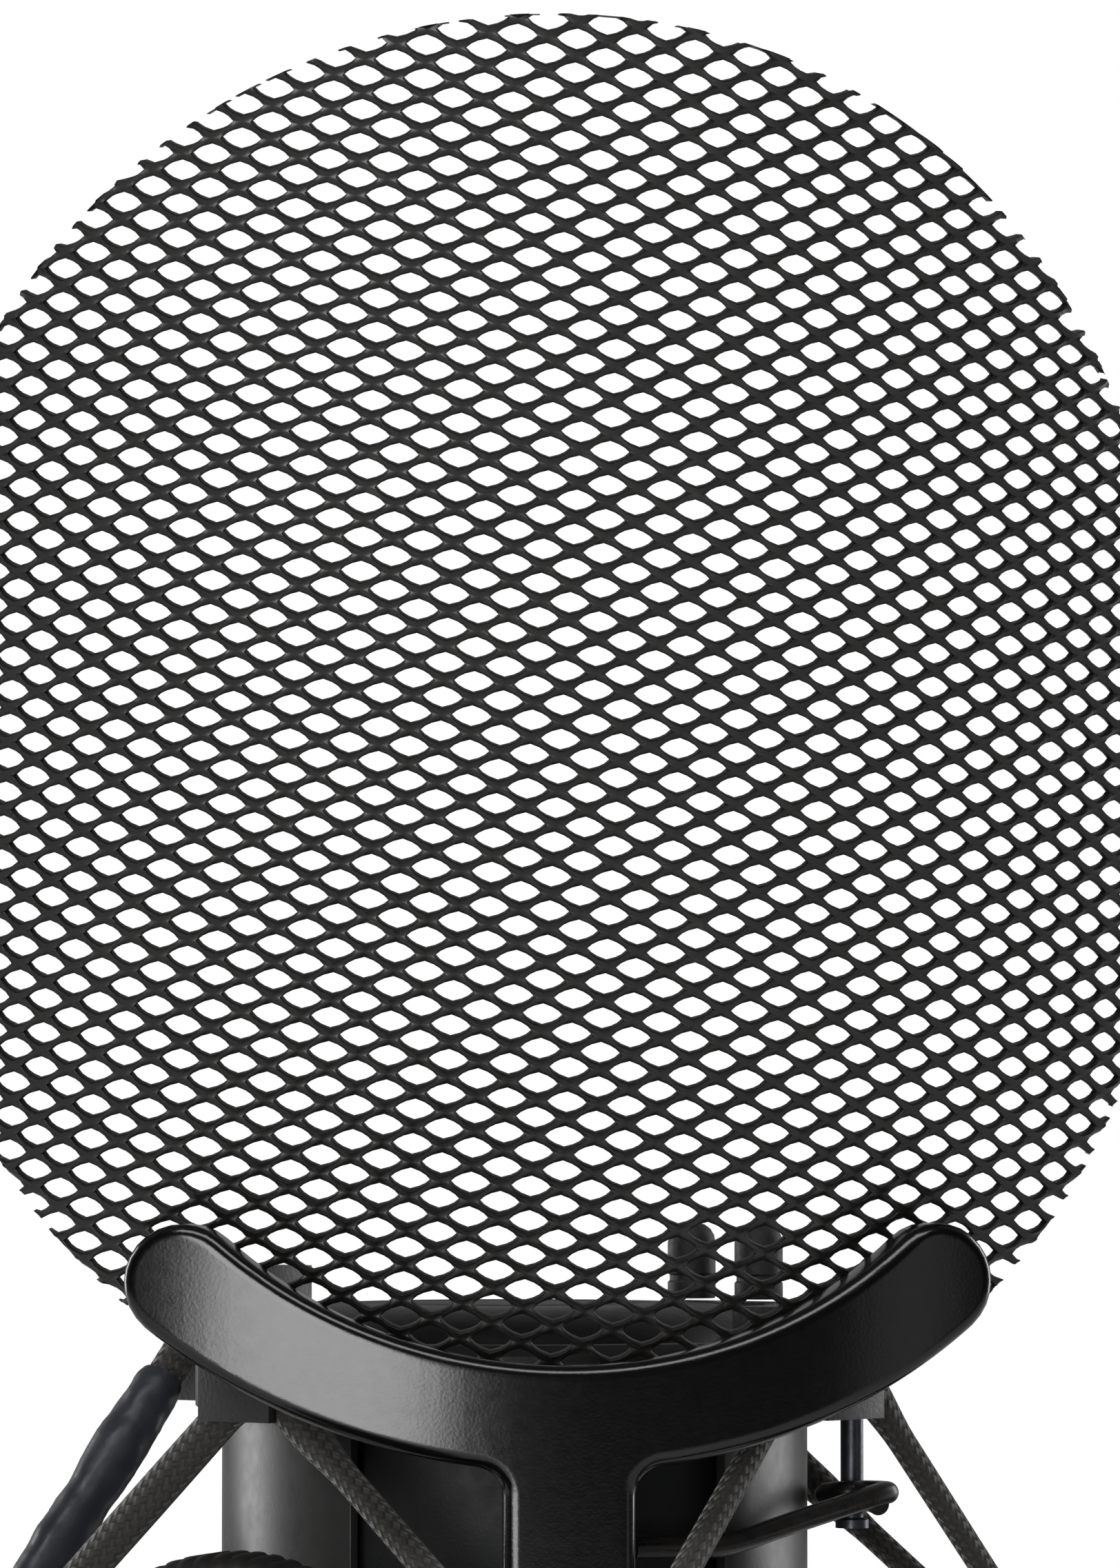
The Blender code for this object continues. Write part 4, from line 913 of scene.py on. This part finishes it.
def stretched(path, closed, thinner):
    """A cord's radius by distance run: full where a lug grips it and on the slack left side, else thinner."""
    runs = [0.0]
    for here, there in zip(path, path[1:]):
        runs.append(runs[-1] + (there - here).length)
    held = [0.0, runs[-1]]
    for i in range(1, len(path) - 1):
        if (path[i] - path[i - 1]).angle(path[i + 1] - path[i]) > math.radians(1):
            held.append(runs[i])

    def radius(run):
        place = path[min(bisect.bisect_left(runs, run - 1e-9), len(path) - 1)]
        share = (min(abs(run - at) for at in held) - 2 * MM) / (8 * MM)
        share = min(1, max(0, share)) if closed or place.x > SLACK_SIDE else 0
        ripple = 0.04 * MM * math.sin(run / (7 * MM))
        return CORD_RADIUS - 0.05 * MM + ripple - thinner * share * share * (3 - 2 * share)

    return radius


def hold_between(made):
    """Bake a piece's placement into its mesh."""
    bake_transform(made)


def cords(finishes):
    """The braided cords between ring and basket, the upper one's end caps and its sleeve."""
    for node, path, closed, heights, thinner in (
        ("upper_cord", upper_cord_path(), False, UPPER_BLEND, UPPER_THINNER),
        ("lower_cord", lower_cord_path(), True, LOWER_BLEND, LOWER_THINNER),
    ):
        bm = bmesh.new()
        tube(bm, path, stretched(path, closed, thinner), 20, closed, "braid")
        made = piece(f"{node}_braided", bm, finishes["braid"], weld=0)
        hold_between(made)
        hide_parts(node)
    for side, sideways in (("right", -END_SPREAD), ("left", END_SPREAD)):
        start = around(REAR_RIGHT, END_RADIUS, END_LUG_TOP, sideways)
        outline = [
            (0, 0), (2.3 * MM, 0), (2.4 * MM, 0.2 * MM), (2.4 * MM, 1.6 * MM), (2.2 * MM, 1.8 * MM),
            (2.2 * MM, 2.3 * MM), (2.4 * MM, 2.5 * MM), (2.4 * MM, 5.5 * MM), (2.25 * MM, 6.3 * MM),
            (1.9 * MM, 6.9 * MM), (1.3 * MM, 7.35 * MM), (0.6 * MM, 7.5 * MM), (0, 7.5 * MM),
        ]
        made = aimed(f"cord_end_cap_{side}", outline, finishes["rubber"], start, Vector((0, 0, 1)), 32)
        stands_for(made, "basket", "rubber", f"cord_end_{side}")
    top = around(REAR_LEFT, *UPPER_PEAKS[REAR_LEFT])
    bottom = around(180, *UPPER_VALLEYS[180])
    along = (bottom - top).normalized()
    bore = CORD_RADIUS + 0.1 * MM
    outline = [(bore, 0.1 * MM)]
    for step in range(55):
        z = SLEEVE_LENGTH * step / 54
        end = min(z, SLEEVE_LENGTH - z) / (1.2 * MM)
        swell = 0.28 * math.exp(-((z - 9 * MM) / (3.2 * MM)) ** 2)
        swell += 0.12 * math.exp(-((z - 21 * MM) / (3 * MM)) ** 2)
        outline.append(((2.45 + swell - 0.35 * max(0, 1 - end)) * MM, z))
    outline.append((bore, SLEEVE_LENGTH - 0.1 * MM))

    def lumpy(turn, radius, z):
        if radius < 2.05 * MM:
            return radius
        spot = Vector((math.cos(turn), math.sin(turn), z / (2.6 * MM)))
        lumps = 0.16 * MM * noise.noise(spot * 1.3) + 0.05 * MM * noise.noise(spot * 4)
        return min(3.0 * MM, radius + lumps)

    start = top + along * SLEEVE_START
    made = aimed("splice_sleeve_moulded", outline, finishes["sleeve"], start, along, 40, lumpy)
    hold_between(made)
    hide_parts("splice_sleeve")


# ---------------------------------------------------------------- wires and knobs


def clamp_wire(side, turn, finish):
    """A sprung wire hooked round a post: it hugs the basket, stands out in a loop and returns."""
    hug = BASKET_OUTER + WIRE_RADIUS + 0.35 * MM
    post = around(POST_ANGLE + turn, POST_RADIUS_OUT)
    route = [around(angle + turn, hug, HUG_Z) for angle in (286, 292, 299, 306)]
    tip = around(LOOP_ANGLE + turn, LOOP_REACH, LOOP_Z)
    leg = tip - route[-1]
    route += [route[-1] + leg * share for share in (0.4, 0.75)]
    forward = Vector((leg.x, leg.y, 0)).normalized()
    inward = Vector((-forward.y, forward.x, 0))
    centre = tip + inward * LOOP_RADIUS
    for angle in (0, 45, 90, 135, 180):
        a = math.radians(angle)
        route.append(centre + (forward * math.sin(a) - inward * math.cos(a)) * LOOP_RADIUS)
    eye = POST_RADIUS + WIRE_RADIUS + 0.4 * MM
    first = (route[-1] - post).to_2d()
    angle = math.atan2(first.y, first.x)
    for step in range(1, 8):
        a = angle - step * 0.65
        drop = tip.z - step * 0.2 * MM
        route.append(post + Vector((math.cos(a) * eye, math.sin(a) * eye, drop)))
    bm = bmesh.new()
    tube(bm, smooth(route, 6), WIRE_RADIUS, 20)
    made = piece(f"clamp_wire_{side}_bent", bm, finish)
    stands_for(made, f"clamp_{side}", "wire_black", f"clamp_wire_{side}")


def fluted(outer, count, depth):
    """Shallow grips round a knob's rim."""

    def shape(turn, radius, z):
        if radius < outer - 1.2 * MM:
            return radius
        wave = 0.5 - 0.5 * math.cos(turn * count)
        return radius - depth * wave**3

    return shape


def knobs(finishes):
    """The shield's knob, the swivel's knob and the stem's knurled lock screw."""
    r = KNOB_RADIUS
    outline = [
        (2.9 * MM, 0), (9 * MM, 0), (9.7 * MM, 0.4 * MM), (10 * MM, 1.4 * MM), (r - 1.1 * MM, 1.7 * MM),
        (r - 0.4 * MM, 2.1 * MM), (r, 3 * MM), (r, 4.5 * MM), (r, KNOB_LENGTH - 3.6 * MM),
        (r - 0.35 * MM, KNOB_LENGTH - 2.2 * MM), (r - 1.3 * MM, KNOB_LENGTH - 1.2 * MM),
        (r - 3 * MM, KNOB_LENGTH - 0.6 * MM), (r - 6 * MM, KNOB_LENGTH), (5 * MM, KNOB_LENGTH + 0.45 * MM),
        (2 * MM, KNOB_LENGTH + 0.6 * MM), (0, KNOB_LENGTH + 0.6 * MM), (0, 6.2 * MM), (2.9 * MM, 6.2 * MM),
    ]
    made = aimed("shield_knob_fluted", outline, finishes["knob"], around(KNOB_ANGLE, KNOB_START, KNOB_Z),
                 around(KNOB_ANGLE, 1), 240, fluted(r, 60, 0.22 * MM))
    stands_for(made, "shield_knob", "knob_brown", "shield_knob")
    outline = [
        (3.2 * MM, 9.8 * MM), (7 * MM, 9.8 * MM), (7.6 * MM, 12 * MM), (12 * MM, 12.5 * MM),
        (12.7 * MM, 13 * MM), (13 * MM, 14 * MM), (13 * MM, 20.6 * MM), (12.6 * MM, 21.8 * MM),
        (11 * MM, 22.9 * MM), (6 * MM, 23.3 * MM), (0, 23.4 * MM), (0, 18.4 * MM), (3.2 * MM, 18.4 * MM),
    ]
    made = aimed("swivel_knob_fluted", outline, finishes["knob"], Vector((0, REACH, PIVOT_Z)),
                 Vector((1, 0, 0)), 160, fluted(13 * MM, 20, 0.6 * MM))
    stands_for(made, "swivel_knob", "knob_brown", "swivel_knob")
    outline = [
        (0, 0), (1.8 * MM, 0), (2.0 * MM, 0.3 * MM), (2.0 * MM, 8.6 * MM), (4.9 * MM, 8.6 * MM),
        (5.3 * MM, 9.0 * MM), (5.3 * MM, 14.4 * MM), (4.9 * MM, 15.1 * MM), (4.2 * MM, 15.4 * MM),
        (1.4 * MM, 15.4 * MM), (1.2 * MM, 14.6 * MM), (0, 14.6 * MM),
    ]
    foot = Vector((0, SCREEN_Y - STEM_FRONT - GAP, LOCK_Z))
    made = aimed("stem_lock_knurled", outline, finishes["steel"], foot, Vector((0, -1, 0)), 144,
                 fluted(5.3 * MM, 36, 0.25 * MM))
    stands_for(made, "stem_lock", "steel", "stem_lock_screw")


# ---------------------------------------------------------------- microphone


def woven_grille(name, facing, finish):
    """Woven wire cloth in a window of the body, with a thin frame round it."""
    bm = bmesh.new()
    low, high = WINDOW[0] + 0.6 * MM, WINDOW[1] - 0.6 * MM
    half = WINDOW_HALF_ANGLE - 1.6
    middle = (BODY_INNER + BODY_OUTER) / 2
    upright, level = 30, 32
    wire, frame_wire, crimp = 0.19 * MM, 0.42 * MM, 0.17 * MM
    for i in range(upright + 1):
        angle = facing - half + 2 * half * i / upright
        path = []
        for step in range(level * 2 + 1):
            z = low + (high - low) * step / (level * 2)
            wave = math.cos(math.pi * (step // 2 + i)) if step % 2 else 0.0
            path.append(around(angle, middle + crimp * wave, z))
        tube(bm, path, wire, 5)
    for i in range(level):
        z = low + (high - low) * (i + 0.5) / level
        path = []
        for step in range(upright + 1):
            angle = facing - half + 2 * half * step / upright
            wave = -math.cos(math.pi * (i + step))
            path.append(around(angle, middle + crimp * wave, z))
        tube(bm, path, wire, 5)
    for edge in (-1, 1):
        path = [around(facing + edge * half, middle, low + (high - low) * k / 20) for k in range(21)]
        tube(bm, path, frame_wire, 8)
        z = low if edge < 0 else high
        path = [around(facing - half + 2 * half * k / 24, middle, z) for k in range(25)]
        tube(bm, path, frame_wire, 8)
    made = piece(f"{name}_woven", bm, finish, weld=0)
    stands_for(made, "microphone", "grille_steel", name)


def top_cap(finish):
    """The domed cap, a plug in the tube, with a shallow ring groove in its flat top."""
    plug, flat, high = BODY_INNER - 0.4 * MM, 17 * MM, 10.2 * MM
    outline = [(0, -1.8 * MM), (plug, -1.8 * MM), (plug, BODY_TOP + 0.35 * MM)]
    outline += [(BODY_OUTER - 0.25 * MM, BODY_TOP + 0.35 * MM), (BODY_OUTER, BODY_TOP + 0.6 * MM)]
    for step in range(15):
        t = step / 14
        a = math.radians(90 * t)
        outline.append((flat + (BODY_OUTER - flat) * math.cos(a) ** 0.82,
                        5.6 * MM + 4.55 * MM * math.sin(a) ** 0.9))
    outline += [(12 * MM, high), (11.6 * MM, high - 0.3 * MM), (11.2 * MM, high), (6 * MM, high), (0, high)]
    made = aimed("top_cap_domed", outline, finish, Vector(), Vector((0, 0, 1)), 96, sharp=55)
    stands_for(made, "microphone", "body_black", "top_cap")


# ---------------------------------------------------------------- CAD nodes that stay


CAD_FINISHES = {
    "steel": ("cradle_screw_1", "cradle_screw_2", "cradle_screw_3", "shield_knob_screw", "fork_screw_lower",
              "fork_screw_upper", "swivel_bolt", "chassis_deck",
              "chassis_rail_left", "chassis_rail_right", "input_transistor", "xlr_shell"),
    "coated": ("outer_ring", "shield_bracket", "swivel_fork", "swivel_block"),
    "post": ("clamp_post_rear", "clamp_post_right"),
    "collar": ("top_collar", "bottom_collar"),
    "basket": ("basket_shell",),
    "rubber": ("basket_pad_left", "basket_pad_right", "basket_pad_rear", "capsule_saddle"),
    "body": ("body_tube", "base_ring"),
    "brass": ("thread_insert", "capsule_ring", "backplate", "xlr_pin_1", "xlr_pin_2", "xlr_pin_3"),
    "gold": ("front_diaphragm", "rear_diaphragm"),
    "board": ("circuit_board",),
    "dark": ("friction_washer_left", "friction_washer_right", "output_transformer", "coupling_capacitor",
             "pad_switch", "low_cut_switch", "switch_housing", "xlr_insert"),
}
SOFT_EDGES = {
    "outer_ring": 0.5, "shield_bracket": 0.4, "swivel_fork": 0.5, "swivel_block": 0.4, "top_collar": 0.5,
    "bottom_collar": 0.5, "basket_shell": 0.3, "body_tube": 0.2, "base_ring": 0.3, "swivel_bolt": 0.4,
}


def dress_cad(finishes):
    """Give the CAD nodes that stay their finish and smooth shading."""
    group = smooth_shading()
    for finish, nodes in CAD_FINISHES.items():
        for name in nodes:
            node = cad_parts[name]
            if not node.material_slots:
                node.data.materials.append(finishes[finish])
            for slot in node.material_slots:
                slot.material = finishes[finish]
            smooth_cad(name, SOFT_EDGES.get(name, 0) * MM, group)


def main():
    make_camera()
    finishes = make_materials()
    make_stage()
    dress_cad(finishes)
    pop_shield(finishes)
    cords(finishes)
    for side, turn in CLAMP_TURNS.items():
        clamp_wire(side, turn, finishes["wire"])
    knobs(finishes)
    woven_grille("front_grille", FRONT, finishes["grille"])
    woven_grille("rear_grille", FRONT - 180, finishes["grille"])
    top_cap(finishes["body"])


main()
